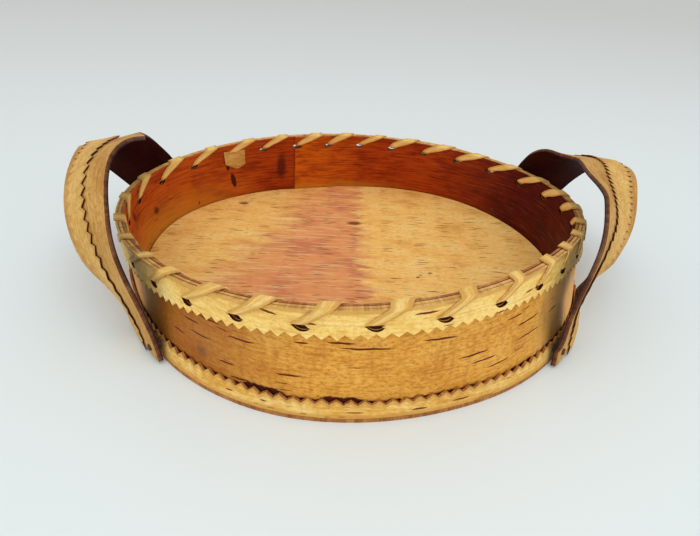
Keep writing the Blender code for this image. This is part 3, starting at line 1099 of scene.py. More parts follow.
# Patches of painted shade above the lower band's teeth, in the same rows.
GAP_SHADE_PATCHES = ((-105.5, 11.0, 10.5, 4.0, 0), (-91.0, 11.0, 10.0, 4.0, 0))
LOWER_MARKS = (
    (-76.6, 4.9, 3.8, 0.42, 0), (-68.2, 5.4, 4.7, 0.38, 3), (-90.8, 2.9, 1.6, 0.36, 0),
    (-93.4, 2.7, 1.2, 0.32, 0), (-88.4, 5.4, 4.1, 0.30, 0), (-62.8, 2.2, 6.0, 0.8, 2),
    (-112.0, 6.0, 1.8, 0.30, 0), (-105.0, 6.2, 1.6, 0.30, 0), (-103.6, 3.6, 1.8, 0.30, 2),
    (-97.6, 3.2, 1.7, 0.30, 0),
)
UPPER_MARKS = (
    (-96.2, 46.0, 2.6, 0.36, 4), (-85.1, 47.2, 2.4, 0.36, 0), (-77.4, 51.4, 5.4, 0.45, 4),
    (-103.6, 47.6, 4.4, 0.42, -2), (-62.0, 44.0, 2.4, 0.30, 0), (-54.0, 47.4, 3.0, 0.30, 2),
)
LINING_MARKS = (
    (136.6, 16.5, 2.2, 5.5, -12), (138.4, 29.5, 1.6, 5.0, 0),
)
LINING_BLOTS = (
    (168.9, 16.7, 4.0, 2.6, 0), (-177.8, 25.3, 3.5, 3.6, 0), (119.0, 23.0, 5.5, 12.0, 0),
)


def edge_finish(name: str, plain: Tint, pale: Tint, deep: Tint) -> bpy.types.Material:
    """Build the look of a cut edge of the bark.

    Args:
        name: Name of the material.
        plain: Its commonest colour.
        pale: Colour of its paler blotches.
        deep: Colour of its deeper ones.

    Returns:
        The material.
    """
    return BarkFinish(plain, pale, deep, (40, 14, 8), blotch=0.004).make(name)


class Finishes:
    """All the finishes of the basket, made once."""

    def __init__(self) -> None:
        """Make every material."""
        seam = Outline.wall_seam
        lining = Outline.lining_seam
        dashes = (Flecks(0.026, 0.0016, 0.0045, 0.10), Flecks(0.012, 0.0010, 0.0018, 0.07, 0.6))
        self.wall = WallFinish(
            (226, 158, 60), (244, 186, 90), (170, 92, 24), (104, 28, 14),
            dashes, wall_marks(OUTER_MARKS, seam), roughness=0.58,
            smudges=wall_marks(SMUDGES, seam), gap_shade_patches=wall_marks(GAP_SHADE_PATCHES, seam),
            ).make("wall outer bark")
        # The maroon tone is the lining's dark red bark, and behind the right handle also painted
        # shade.
        russet, amber, gold, maroon = (170, 60, 5), (190, 80, 10), (205, 95, 10), (85, 5, 0)
        self.lining = LiningFinish(
            (160, 70, 12), (190, 96, 24), (96, 28, 8), (74, 16, 6),
            (Flecks(0.020, 0.0013, 0.0036, 0.22, 0.8),), wall_marks(LINING_MARKS, lining),
            roughness=0.5, smears=wall_marks(LINING_BLOTS, lining),
            tones=((0.0, russet), (0.03, russet), (0.08, amber), (0.45, amber), (0.64, maroon),
                   (0.77, maroon), (0.86, russet), (0.92, russet), (0.97, gold)),
            ).make("wall lining bark")
        straw_flecks = (Flecks(0.018, 0.0016, 0.0030, 0.05, 0.9),
                        Flecks(0.009, 0.0011, 0.0014, 0.05, 0.5))
        straw = dict(plain=(250, 204, 110), pale=(255, 226, 150),
                     deep=(206, 144, 56), fleck=(112, 44, 20), blotch=0.010, contrast=0.7,
                     speckle=0.45, edge_tint=(206, 146, 70))
        self.upper_band = BandFinish(marks=wall_marks(UPPER_MARKS, Outline.band_seam),
                                     flecks=straw_flecks, **straw).make("upper band bark")
        straw.update(plain=(236, 178, 78), deep=(186, 122, 42))
        self.lower_band = BarkFinish(marks=wall_marks(LOWER_MARKS, Outline.band_seam),
                                     flecks=straw_flecks, **straw).make("lower band bark")
        straw.update(plain=(238, 192, 106), pale=(250, 216, 140), deep=(204, 146, 66))
        self.lacing = BarkFinish(flecks=(Flecks(0.010, 0.0011, 0.0016, 0.05, 0.6),),
                                 **straw).make("lacing bark")
        self.floor = FloorFinish(
            (255, 194, 104), (255, 214, 134), (214, 142, 64), (130, 66, 34),
            (Flecks(0.020, 0.0018, 0.0052, 0.34, 0.85), Flecks(0.010, 0.0011, 0.0024, 0.22, 0.7)),
            (Mark(38.7, -19.4, 1.4, 0.9), Mark(46.2, -14.1, 1.5, 0.8),
             Mark(40.5, -17.0, 1.0, 0.5)),
            contrast=0.8, speckle=0.4,
            knots=(Mark(0.8, 48.2, 6.5, 3.6), Mark(-79.3, 72.3, 5.0, 2.6)),
        ).make("floor bark")
        self.base = BarkFinish((214, 156, 88), (230, 178, 110), (176, 118, 60),
                               (120, 60, 30), dashes).make("base bark")
        strap = dict(plain=(196, 142, 68), pale=(220, 172, 96),
                     deep=(160, 104, 44), fleck=(110, 52, 28), blotch=0.012, contrast=0.8)
        self.strap = BarkFinish(flecks=(Flecks(0.024, 0.0018, 0.0034, 0.04, 0.8),),
                                **strap).make("strap outer bark")
        strap.update(plain=(216, 166, 86), pale=(236, 194, 116), deep=(184, 130, 58))
        self.trim = BarkFinish(flecks=(Flecks(0.024, 0.0018, 0.0034, 0.03, 0.8),),
                               edge_tint=(196, 140, 72), **strap).make("strap trim bark")
        self.maroon = BarkFinish((44, 3, 3), (66, 10, 6), (28, 1, 1), (18, 1, 1),
                                 roughness=0.5, contrast=0.6).make("strap inner bark")
        # Dark cut edge of the bark; on the handle trim it is also painted shade under the lifted
        # teeth.
        self.dark_edge_and_shade = edge_finish("dark bark edge and shade", (58, 14, 8), (88, 30, 16), (34, 6, 4))
        self.pale_edge = edge_finish("pale bark edge", (214, 164, 92), (232, 190, 120),
                                     (150, 98, 46))
        self.lining_edge = edge_finish("lining bark edge", (176, 112, 58), (206, 150, 90),
                                       (110, 52, 24))
        self.lower_edge = edge_finish("lower band edge", (168, 106, 50), (204, 146, 78),
                                      (110, 54, 24))
        # A greyish line along the inner strap's edge next to its face.
        self.grey_line_edge = edge_finish("grey line bark edge", (104, 74, 66), (150, 126, 118),
                                     (60, 28, 22))
        self.strap_edge = edge_finish("strap bark edge", (112, 64, 30), (150, 98, 50),
                                      (60, 24, 10))
        self.trim_edge = edge_finish("trim bark edge", (186, 134, 74), (208, 160, 96),
                                     (134, 84, 42))
        self.peg = WoodFinish((92, 48, 26), (54, 24, 14)).make("peg birch")


@dataclass
class WallSet:
    """The wall, its lining, the two pinked bands and the row of holes under the rim.

    A pitch here is how much of its noise passes with each tooth.
    """

    outline: Outline
    finishes: Finishes
    columns: int = 720
    rows: int = 9
    band_rows: int = 7
    lower_band: float = 0.0093
    upper_band: float = 0.0122
    teeth: int = 144
    tooth_depth: float = 0.0022
    tooth_steps: int = 6
    tooth_lift: float = 0.0007
    tooth_waver: float = 0.25
    tooth_pitch: float = 0.9
    lift_pitch: float = 0.21
    lift_share: float = 0.55
    lift_waver: float = 0.8
    lower_seed: float = 3.0
    upper_seed: float = 8.0
    hole_count: int = 30
    hole_drop: float = 0.0074
    first_hole: float = 139.6
    hole_drift: float = 2.6
    hole_length: float = 0.0033
    hole_height: float = 0.0017
    hole_tilt: float = 0.15
    hole_sides: int = 20
    hole_point_power: float = 0.5

    def hole_angle(self, index: int) -> float:
        """Return the angle of a lacing hole, whose spacing drifts round the rim."""
        even = math.radians(self.first_hole) + math.tau * index / self.hole_count
        return even - math.radians(self.hole_drift) * math.sin(even)

    def hole_cutter(self) -> bpy.types.Object:
        """Build one object that punches every lacing hole.

        Returns:
            A row of lens-shaped prisms, which isn't part of the basket.
        """
        shape = self.outline
        overrun = 2 * shape.full_depth
        bm = bmesh.new()
        for index in range(self.hole_count):
            angle = self.hole_angle(index)
            middle, along, _, _ = shape.frame_at(angle, shape.rim_height(angle) - self.hole_drop,
                                                 shape.full_depth / 2)
            radial = Vector((math.cos(angle), math.sin(angle), 0))
            upright = radial.cross(along)
            rings = []
            for reach in (-overrun, overrun):
                ring = []
                for k in range(self.hole_sides):
                    turn = math.tau * k / self.hole_sides
                    flat = self.hole_length * math.cos(turn)
                    tall = self.hole_height * math.sin(turn)
                    tall *= abs(math.sin(turn)) ** self.hole_point_power
                    ring.append(bm.verts.new(middle + radial * reach + along * flat
                                             + upright * (tall - flat * self.hole_tilt)))
                rings.append(ring)
            bm.faces.new(rings[0])
            bm.faces.new(rings[1])
            for near, far, near_next, far_next in zip(*rings, *(r[1:] + r[:1] for r in rings)):
                bm.faces.new((near, near_next, far_next, far))
        bmesh.ops.recalc_face_normals(bm, faces=bm.faces)
        for face in bm.faces:
            face.material_index = HOLE_SLOT
        return Shop.from_bmesh("hole_cutter", bm, [self.finishes.dark_edge_and_shade] * (HOLE_SLOT + 1))

    def wall_sheet(self, name: str, seam: float, depth: float, step: float, thickness: float,
                   materials: Sequence[bpy.types.Material]) -> bpy.types.Object:
        """Build a tall sheet whose upper end laps over its start.

        Args:
            name: Name of the piece.
            seam: Azimuth of the upper end in degrees.
            depth: Depth of the sheet's outer face.
            step: How far the lap stands in from the sheet.
            thickness: Thickness of the bark.
            materials: Materials of its faces, of its edge and of the holes.

        Returns:
            The thickened sheet, with its modifiers still on it.
        """
        shape = self.outline
        end = math.radians(seam) + math.tau
        ramp_end = end - shape.arc(shape.lap_length)
        ramp_start = ramp_end - shape.arc(shape.lap_ramp)
        start = ramp_end - math.tau
        points: Grid = [[] for _ in range(self.rows)]
        places: Grid = [[] for _ in range(self.rows)]
        for i in range(self.columns + 1):
            angle = start + (end - start) * i / self.columns
            lap = clamp((angle - ramp_start) / (ramp_end - ramp_start))
            top = shape.rim_height(angle)
            along = shape.along(angle)
            for j in range(self.rows):
                height = shape.foot + (top - shape.foot) * j / (self.rows - 1)
                points[j].append(shape.skin(angle, height, depth + step * lap))
                places[j].append(Vector((along, height, min(height - shape.foot, top - height))))
        obj = Shop.sheet(name, points, places, materials)
        Shop.thicken(obj, thickness)
        return obj

    def band(self, name: str, bottom: Callable[[float], float], top: Callable[[float], float],
             teeth_up: bool, seed: float,
             materials: Sequence[bpy.types.Material]) -> bpy.types.Object:
        """Build a band whose pinked edge lifts a little off the wall.

        Args:
            name: Name of the piece.
            bottom: Height of the lower edge at an angle.
            top: Height of the upper edge at an angle.
            teeth_up: Whether the teeth are on the upper edge.
            seed: Place in the noise that varies the teeth.
            materials: Materials of its faces, of its edge, and of the holes where it has any.

        Returns:
            The thickened band, with its modifiers still on it.
        """
        shape, rows = self.outline, self.band_rows
        steps = self.teeth * self.tooth_steps
        gap = shape.arc(shape.seat_gap)
        points: Grid = [[] for _ in range(rows)]
        places: Grid = [[] for _ in range(rows)]
        for i in range(steps + 1):
            share = i / steps
            angle = math.radians(shape.band_seam) + gap + (math.tau - 2 * gap) * share
            phase = self.teeth * share
            uneven = noise.noise(Vector((phase * self.tooth_pitch, seed, 0)))
            tooth = self.tooth_depth * (1 + self.tooth_waver * uneven) * zigzag(phase)
            low, high = bottom(angle), top(angle)
            if teeth_up:
                high += tooth
            else:
                low -= tooth
            loose = noise.noise(Vector((phase * self.lift_pitch, seed, 5)))
            lift = self.tooth_lift * (self.lift_share + self.lift_waver * loose)
            along = self._front_along(shape.along(angle))
            for j in range(rows):
                share_up = j / (rows - 1)
                height = low + (high - low) * share_up
                free = share_up if teeth_up else 1 - share_up
                depth = -shape.wall_bump(angle) - max(0.0, lift) * free ** 3
                points[j].append(shape.skin(angle, height, depth))
                edge = high - height if not teeth_up else min(height - low, high - height)
                places[j].append(Vector((along, height, edge)))
        obj = Shop.sheet(name, points, places, materials)
        Shop.thicken(obj, shape.band_thickness)
        return obj

    def _front_along(self, along: float) -> float:
        """Return a band's place so that its front lies at 0, whatever turn it started on.

        Args:
            along: Length along the wall from its front.

        Returns:
            The same place, a whole turn away where it has to be.
        """
        turn = math.tau * self.outline.rim_radius
        seam = self.outline.along(math.radians(self.outline.band_seam))
        return (along - seam) % turn + seam

    def build(self) -> None:
        """Build, cut and deliver the four sheets."""
        shape, look = self.outline, self.finishes
        cutter = self.hole_cutter()
        outer_step = -(shape.wall_thickness + shape.seat_gap)
        inner_step = shape.lining_thickness + shape.seat_gap
        wall = self.wall_sheet("wall_outer_bark", shape.wall_seam, shape.wall_depth, outer_step,
                               shape.wall_thickness, (look.wall, look.pale_edge, look.dark_edge_and_shade))
        lining = self.wall_sheet("wall_lining_bark", shape.lining_seam, shape.lining_depth,
                                 inner_step, shape.lining_thickness,
                                 (look.lining, look.lining_edge, look.dark_edge_and_shade))
        lower = self.band("lower_band_bark", lambda angle: shape.foot,
                          lambda angle: self.lower_band, True, self.lower_seed,
                          (look.lower_band, look.lower_edge))
        upper = self.band("upper_band_bark",
                          lambda angle: shape.rim_height(angle) - self.upper_band
                          + self.tooth_depth, shape.rim_height, False, self.upper_seed,
                          (look.upper_band, look.pale_edge, look.dark_edge_and_shade))
        for sheet in (wall, lining, upper):
            Shop.cut(sheet, cutter)
        for sheet in (wall, lining, lower, upper):
            Shop.settle(sheet)
        bpy.data.objects.remove(cutter, do_unlink=True)
        Shop.deliver(wall, Slot.OCHRE, "wall_outer")
        Shop.deliver(lining, Slot.RUST, "wall_lining")
        Shop.deliver(lower, Slot.STRAW, "lower_band")
        Shop.deliver(upper, Slot.STRAW, "upper_band")


@dataclass
class RimLacing:
    """The flat strip of bark that is laced over the rim from hole to hole.

    Broad and slide are the least and the most that a stitch differs in width and place. Crown is
    how far the strip's middle stands up, and wrinkle the height of its noise. The sizes that
    start with tab are those of its loose end.
    """

    outline: Outline
    wall: WallSet
    finishes: Finishes
    width: float = 0.0050
    thickness: float = 0.0006
    gap: float = 0.0003
    across_points: int = 5
    between: int = 5
    seed: int = 11
    broad: Tuple[float, float] = (0.86, 1.14)
    slide: Tuple[float, float] = (-0.05, 0.05)
    crown: float = 0.00004
    wrinkle: float = 0.00006
    wrinkles_per_metre: float = 300
    wrinkles_across: float = 0.8
    tab_steps: int = 6
    tab_point_share: float = 0.4
    tab_start: float = 132.5
    tab_stop: float = 139.8
    tab_low: float = 0.0250
    tab_high: float = 0.0385
    tab_cut: float = 0.0080
    tab_lean: float = 0.0012
    # Share of the way to the next hole, share of the height from hole to crest, share of the way
    # from outside to inside, turn of the face in degrees, length along the rim over the width
    stitch_shares: Tuple[Tuple[float, ...], ...] = (
        (-0.04, 0.06, 0.25, -90, 0.80),
        (-0.03, 0.20, 0.00, -10, 1.05),
        (0.08, 0.38, 0.00, 0, 1.25),
        (0.19, 0.60, 0.00, 0, 1.40),
        (0.31, 0.84, 0.00, 0, 1.50),
        (0.37, 0.98, 0.06, 45, 1.55),
        (0.41, 1.00, 0.50, 90, 1.70),
        (0.45, 0.99, 0.94, 135, 1.90),
        (0.53, 0.88, 1.00, 180, 2.10),
        (0.74, 0.54, 1.00, 180, 1.90),
        (0.92, 0.24, 1.00, 180, 1.20),
        (0.96, 0.06, 0.75, 270, 0.80),
    )

    def edge(self, angle: float, rise: float, across: float, turn: float) -> Tuple[Vector, Vector]:
        """Find a point of the strip's middle layer.

        Args:
            angle: Direction from the basket's middle in radians.
            rise: Share of the height from hole to crest.
            across: Share of the way from outside to inside.
            turn: Turn of the face in degrees, from outward by way of up.

        Returns:
            The point and the way the strip's face looks there.
        """
        shape = self.outline
        outside = -self.gap - self.thickness / 2
        inside = shape.full_depth - outside + shape.lining_bump(angle, self.width)
        outside -= shape.wall_bump(angle, self.width)
        crest = self.wall.hole_drop + self.gap + self.thickness / 2
        height = shape.rim_height(angle) - self.wall.hole_drop + crest * rise
        point, _, up, out = shape.frame_at(angle, height, outside + (inside - outside) * across)
        tilt = math.radians(turn)
        return point, out * math.cos(tilt) + up * math.sin(tilt)

    def route(self) -> List[Tuple[float, ...]]:
        """Lay out the whole strip, stitch by stitch.

        Returns:
            Rows of angle, rise, across, turn and width.
        """
        draw = random.Random(self.seed)
        rows = []
        for index in range(self.wall.hole_count):
            start = self.wall.hole_angle(index)
            stride = self.wall.hole_angle(index + 1) - start
            broad = draw.uniform(*self.broad)
            slide = draw.uniform(*self.slide)
            steps = self.stitch_shares if index == 0 else self.stitch_shares[1:]
            for along, rise, across, turn, width in steps:
                free = math.sin(math.pi * clamp(along))
                rows.append((start + stride * (along + slide * free), rise, across,
                             turn + 360 * index, width * (1 + (broad - 1) * free)))
        return rows

    def build(self) -> None:
        """Build and deliver the lacing."""
        rows = np.array(self.route())
        count = len(rows)
        samples = [self._curve(rows, i, k / self.between)
                   for i in range(count - 1) for k in range(self.between)]
        samples.append(rows[-1])
        rings: Grid = []
        places: Grid = []
        run = 0.0
        previous: Optional[Vector] = None
        for angle, rise, across, turn, width in samples:
            reach = self.width * width / 2
            middle, _ = self.edge(angle, rise, across, turn)
            if previous is not None:
                run += (middle - previous).length
            previous = middle
            front, back, place = [], [], []
            for j in range(self.across_points):
                side = 2 * j / (self.across_points - 1) - 1
                point, face = self.edge(angle + self.outline.arc(reach) * side, rise, across, turn)
                rough = noise.noise(Vector((run * self.wrinkles_per_metre,
                                            side * self.wrinkles_across, 2.0)))
                lift = self.thickness / 2 + self.crown * (1 - side * side) + self.wrinkle * rough
                front.append(point + face * lift)
                back.append(point + face * (lift - self.thickness))
                place.append(Vector((run, side * reach, (1 - abs(side)) * reach)))
            rings.append(front + back[::-1])
            places.append(place + place[::-1])
        flat = [0] * (self.across_points - 1)
        obj = Shop.tube("rim_lacing_bark", rings, places, flat + [1] + flat + [1],
                        (self.finishes.lacing, self.finishes.pale_edge))
        Shop.settle(obj)
        Shop.deliver(obj, Slot.STRAW, "rim_lacing")
        self.loose_end()

    def loose_end(self) -> None:
        """Build the strip's loose end, tucked flat against the lining under the rim."""
        shape, steps = self.outline, self.tab_steps
        points: Grid = []
        places: Grid = []
        for i in range(steps + 1):
            up = i / steps
            row, place = [], []
            for j in range(steps + 1):
                share = j / steps
                angle = math.radians(self.tab_start + (self.tab_stop - self.tab_start) * share)
                low = self.tab_low + self.tab_cut * abs(share - self.tab_point_share)
                height = low + (self.tab_high - low) * up
                lean = self.gap + self.thickness + self.tab_lean * (1 - up) * share
                row.append(shape.skin(angle, height, shape.full_depth + lean))
                place.append(Vector((self.width * share * 2, height, self.width)))
            points.append(row)
            places.append(place)
        obj = Shop.sheet("lacing_loose_end_bark", points, places,
                         (self.finishes.strap, self.finishes.pale_edge), flip=True)
        Shop.thicken(obj, self.thickness)
        Shop.settle(obj)
        Shop.deliver(obj, Slot.STRAW)

    @staticmethod
    def _curve(rows: np.ndarray, index: int, share: float) -> np.ndarray:
        """Read a smooth curve through rows of values.

        Args:
            rows: The rows.
            index: Number of the row before the place that is read.
            share: Share of the way from that row to the next.

        Returns:
            The values there.
        """
        a = rows[max(0, index - 1)]
        b = rows[index]
        c = rows[index + 1]
        d = rows[min(len(rows) - 1, index + 2)]
        start, stop = (c - a) / 2, (d - b) / 2
        limit = 1.5 * np.abs(c - b)
        start = np.clip(start, -limit, limit)
        stop = np.clip(stop, -limit, limit)
        s2, s3 = share * share, share ** 3
        return ((2 * s3 - 3 * s2 + 1) * b + (s3 - 2 * s2 + share) * start
                + (3 * s2 - 2 * s3) * c + (s3 - s2) * stop)


@dataclass
class FloorSet:
    """The base disc and the floor disc above it.

    Ring power draws the rings of points nearer to the edge, and still rim is how fast the slow
    waves die out there.
    """

    outline: Outline
    finishes: Finishes
    floor_thickness: float = 0.0014
    edge_gap: float = 0.0008
    rings: int = 40
    steps: int = 240
    wave_height: float = 0.0005
    waves_per_metre: float = 22
    ring_power: float = 0.8
    still_rim: float = 6.0
    weld_reach: float = 0.00001

    def disc(self, name: str, depth: Callable[[float], float], top: float, thickness: float,
             swell: float, materials: Sequence[bpy.types.Material]) -> bpy.types.Object:
        """Build a disc of bark that follows the wall's outline.

        Args:
            name: Name of the piece.
            depth: Depth of its edge at an angle.
            top: Height of its upper face.
            thickness: Thickness of the bark.
            swell: Height of its slow waves.
            materials: Materials of its faces and of its edge.

        Returns:
            The finished disc.
        """
        points: Grid = []
        places: Grid = []
        for i in range(self.rings + 1):
            share = (i / self.rings) ** self.ring_power
            row, place = [], []
            for j in range(self.steps + 1):
                angle = math.tau * (j % self.steps) / self.steps
                edge = self.outline.skin(angle, self.outline.foot, depth(angle))
                x, y = edge.x * share, edge.y * share
                bend = noise.noise(Vector((x * self.waves_per_metre, y * self.waves_per_metre,
                                           4.0))) * swell
                inner = min(1.0, (1 - share) * self.still_rim)
                row.append(Vector((x, y, top + bend * inner)))
                place.append(Vector((x, y, edge.length * (1 - share))))
            points.append(row)
            places.append(place)
        obj = Shop.sheet(name, points, places, materials, flip=True)
        weld = obj.modifiers.new("closed", "WELD")
        weld.merge_threshold = self.weld_reach
        Shop.thicken(obj, thickness)
        return Shop.settle(obj)

    def build(self) -> None:
        """Build and deliver both discs."""
        shape, look = self.outline, self.finishes
        base = self.disc("base_panel_bark", lambda angle: 0.0, shape.base_thickness,
                         shape.base_thickness, 0.0, (look.base, look.lower_edge))
        Shop.deliver(base, Slot.TAN, "base_panel")
        rest = shape.full_depth + self.edge_gap
        floor = self.disc("floor_panel_bark", lambda angle: rest + shape.lining_bump(angle),
                          shape.foot + self.floor_thickness, self.floor_thickness,
                          self.wave_height, (look.floor, look.dark_edge_and_shade))
        Shop.deliver(floor, Slot.TAN, "floor_panel")


@dataclass
class CarryHandle:
    """One handle: two straps face to face, a pinked trim and a peg through each foot.

    Pairs hold the front foot's value and then the back one's. Each row of path shares holds the
    share of the way round to a foot, the share of the standoff from the wall, the share of the
    crest's height, and the heading and dip of the strap's width in degrees. Peg round is the
    outline of the peg's worn head: shares of its radius, each with its drop below the top.
    """

    side: Side
    outline: Outline
    finishes: Finishes
    turn_deg: float
    foot_deg: Tuple[float, float]
    lean_share: Tuple[float, float]
    front_twist_share: float
    path_shares: Tuple[Tuple[float, ...], ...]
    strap_width: float = 0.0325
    shell_radius: float = 0.130
    front_cut_share: float = 0.0
    front_cut_length: float = 0.040
    underside_lift: float = 0.0006
    layer_gap: float = 0.0002
    inner_thickness: float = 0.0009
    outer_thickness: float = 0.0010
    trim_width: float = 0.0165
    trim_offset: float = 0.0043
    trim_thickness: float = 0.0006
    tooth_pitch: float = 0.0055
    tooth_depth: float = 0.0028
    tooth_steps: int = 6
    floor_gap: float = 0.0016
    wall_gap: float = 0.0009
    band_height: float = WallSet.lower_band
    standoff: float = 0.012
    rise: float = 0.0276
    columns: int = 9
    seam_share: float = 0.75
    edge_waver: float = 0.012
    waver_pitch: float = 0.2
    curl_pitch: float = 0.35
    trim_curl: float = 0.0004
    strap_seed: float = 1.0
    trim_seed: float = 4.0
    peg_radius: float = 0.0016
    peg_rise: float = 0.0068
    peg_inset: float = 0.0060
    peg_head: float = 0.0006
    peg_steps: int = 24
    peg_sharp_deg: float = 50.0
    peg_round: Tuple[Tuple[float, float], ...] = (
        (0.0, 0.0), (0.55, 0.00005), (0.9, 0.0002), (1.0, 0.0005))

    def wall_angle(self, share: float) -> float:
        """Return the angle on the wall at a share of the way from the middle to a foot.

        Args:
            share: Share of the way, less than 0 towards the front foot.

        Returns:
            The angle in radians.
        """
        spread = math.radians(self.foot_deg[int(share > 0)]) * share
        turn = math.radians(self.turn_deg)
        return math.pi + turn - spread if self.side is Side.LEFT else turn + spread

    def foot_at(self, end: End, height: float) -> Tuple[Vector, Vector]:
        """Find the middle of a foot at a height.

        The foot leans out from the wall's bands as it rises, and the front one is turned a little.

        Args:
            end: Which foot.
            height: Height above the table.

        Returns:
            The point, and the strap's width direction there.
        """
        index = int(end is End.BACK)
        top = self.outline.foot + self.band_height
        rise = (height - self.floor_gap) / (top - self.floor_gap)
        twist = 0.0 if index else self.front_twist_share
        gap = self.wall_gap + self.standoff * self.lean_share[index] * rise
        gap += abs(twist) * self.strap_width / 2 * (1 - self.front_cut_share)
        angle = self.wall_angle(end.value)
        here, along, _, _ = self.outline.frame_at(angle, height, -gap)
        flip = 1 if self.side is Side.RIGHT else -1
        radial = Vector((math.cos(angle), math.sin(angle), 0))
        return here, (along * flip * -end.value + radial * twist).normalized()

    def foot_rows(self, end: End) -> List[Tuple[Vector, Vector]]:
        """Return the points of one foot up the wall, each with its width direction.

        Args:
            end: Which foot.

        Returns:
            The points in the order in which the strap runs.
        """
        top = self.outline.foot + self.band_height
        rows = [self.foot_at(end, height)
                for height in (self.floor_gap, (self.floor_gap + top) / 2, top)]
        return rows if end is End.FRONT else rows[::-1]

    def knots(self) -> List[Tuple[Vector, Vector]]:
        """Lay out the middle line of the strap.

        Returns:
            Its points from foot to foot, each with the direction of the strap's width.
        """
        turn = math.radians(self.turn_deg)
        out = Vector((math.cos(turn), math.sin(turn), 0))
        back = Vector((-math.sin(turn), math.cos(turn), 0))
        if self.side is Side.LEFT:
            out = -out
        rows = self.foot_rows(End.FRONT)
        for round_share, off_share, rise_share, heading, dip in self.path_shares:
            angle = self.wall_angle(round_share)
            height = (self.outline.wall_height + self.rise) * rise_share
            level = min(height, self.outline.rim_height(angle))
            point = self.outline.skin(angle, level, -self.standoff * off_share)
            point.z = height
            yaw, tip = math.radians(heading), math.radians(dip)
            width = (out * math.cos(yaw) + back * math.sin(yaw)) * math.cos(tip)
            width.z = math.sin(tip)
            rows.append((point, width))
        return rows + self.foot_rows(End.BACK)

    def stations(self) -> Tuple[List[Tuple[Vector, Vector, Vector]], float]:
        """Read the strap's middle line finely, with the same number of steps for each tooth.

        Returns:
            Middle, width direction and outward face of each station, and the strap's length.
        """
        knots = self.knots()
        points = np.array([tuple(point) for point, _ in knots])
        widths = np.array([tuple(width) for _, width in knots])
        lengths = np.concatenate([[0], np.cumsum(np.linalg.norm(np.diff(points, axis=0),
                                                                axis=1))])
        teeth = round(lengths[-1] / self.tooth_pitch)
        samples = np.linspace(0, lengths[-1], teeth * self.tooth_steps + 1)
        path = spline(lengths, points, samples)
        sides = spline(lengths, widths, samples)
        found = []
        for point, width, ahead in zip(path, sides, np.gradient(path, axis=0)):
            tangent = Vector(ahead).normalized()
            across = Vector(width)
            across = (across - tangent * across.dot(tangent)).normalized()
            face = tangent.cross(across) if self.side is Side.LEFT else across.cross(tangent)
            found.append((Vector(point), across, face))
        return found, float(lengths[-1])

    def layer(self, name: str, lift: float, thickness: float, half: Callable[[float], float],
              offset: float, curl: float, seed: float,
              materials: Sequence[bpy.types.Material]) -> bpy.types.Object:
        """Build one layer of the strap.

        Args:
            name: Name of the piece.
            lift: Height of its underside above the inner strap's inner face.
            thickness: Thickness of the bark.
            half: Half width by number of the tooth.
            offset: Place of its middle line across the strap.
            curl: How far its edges lift off what it lies on.
            seed: Place in the noise that varies it.
            materials: Materials of its face, the edge next to its back, the edge next to its
                face, and its back.

        Returns:
            The finished layer.
        """
        stations, length = self.stations()
        last = self.columns - 1
        rings: Grid = []
        places: Grid = []
        for i, (point, width, face) in enumerate(stations):
            phase = i / self.tooth_steps
            run = length * i / (len(stations) - 1)
            reach = half(phase)
            layers: Grid = [[], [], []]
            place = []
            for j in range(self.columns):
                side = 2 * j / last - 1
                across = offset + reach * side
                if across > 0:
                    across *= 1 - self.front_cut_share * max(0.0, 1 - run / self.front_cut_length)
                bow = across * across / (2 * self.shell_radius)
                loose = noise.noise(Vector((phase * self.curl_pitch, side, seed)))
                rise = lift - bow + curl * max(0.0, 0.5 + loose) * abs(side) ** 3
                for row, share in zip(layers, (1.0, self.seam_share, 0.0)):
                    row.append(point + width * across + face * (rise + thickness * share))
                place.append(Vector((run, across, reach * (1 - abs(side)))))
            front, seam, back = layers
            rings.append(front + [seam[-1]] + back[::-1] + [seam[0]])
            places.append(place + [place[-1]] + place[::-1] + [place[0]])
        slots = [0] * last + [2, 1] + [3] * last + [1, 2]
        return Shop.settle(Shop.tube(name, rings, places, slots, materials))

    def peg(self, end: End) -> bpy.types.Object:
        """Build the peg through one foot, with a head worn round.

        Args:
            end: Which foot.

        Returns:
            The finished peg.
        """
        shape = self.outline
        middle, width = self.foot_at(end, self.peg_rise)
        centre = middle - width * (self.strap_width / 2 - self.peg_inset)
        radial = Vector((centre.x, centre.y, 0)).normalized()
        out = (radial - width * radial.dot(width)).normalized()
        angle = math.atan2(centre.y, centre.x)
        gap = (centre - shape.skin(angle, self.peg_rise, 0)).dot(radial)
        stack = (self.underside_lift + self.inner_thickness + self.layer_gap
                 + self.outer_thickness)
        outer = stack + self.peg_head
        inner = -shape.full_depth - gap
        profile = [(share, outer - drop) for share, drop in self.peg_round]
        profile += [(1.0, inner), (0.0, inner)]
        turn = out.to_track_quat("Z", "Y").to_matrix()
        steps = self.peg_steps
        bm = bmesh.new()
        rings = []
        for share, height in profile:
            ring = []
            for k in range(steps if share else 1):
                angle = math.tau * k / steps
                spot = Vector((self.peg_radius * share * math.cos(angle),
                               self.peg_radius * share * math.sin(angle), height))
                ring.append(bm.verts.new(centre + turn @ spot))
            rings.append(ring)
        for near, far in zip(rings, rings[1:]):
            for k in range(steps):
                corners = [near[k % len(near)], far[k % len(far)], far[(k + 1) % len(far)],
                           near[(k + 1) % len(near)]]
                bm.faces.new(list(dict.fromkeys(corners)))
        bmesh.ops.recalc_face_normals(bm, faces=bm.faces)
        obj = Shop.from_bmesh(f"{self.peg_node(end)}_wood", bm, [self.finishes.peg])
        obj.data.shade_smooth()
        obj.data.set_sharp_from_angle(angle=math.radians(self.peg_sharp_deg))
        return obj

    def peg_node(self, end: End) -> str:
        """Return the name of the plain solid of one peg."""
        return f"peg_{self.side.value}_{end.name.lower()}"

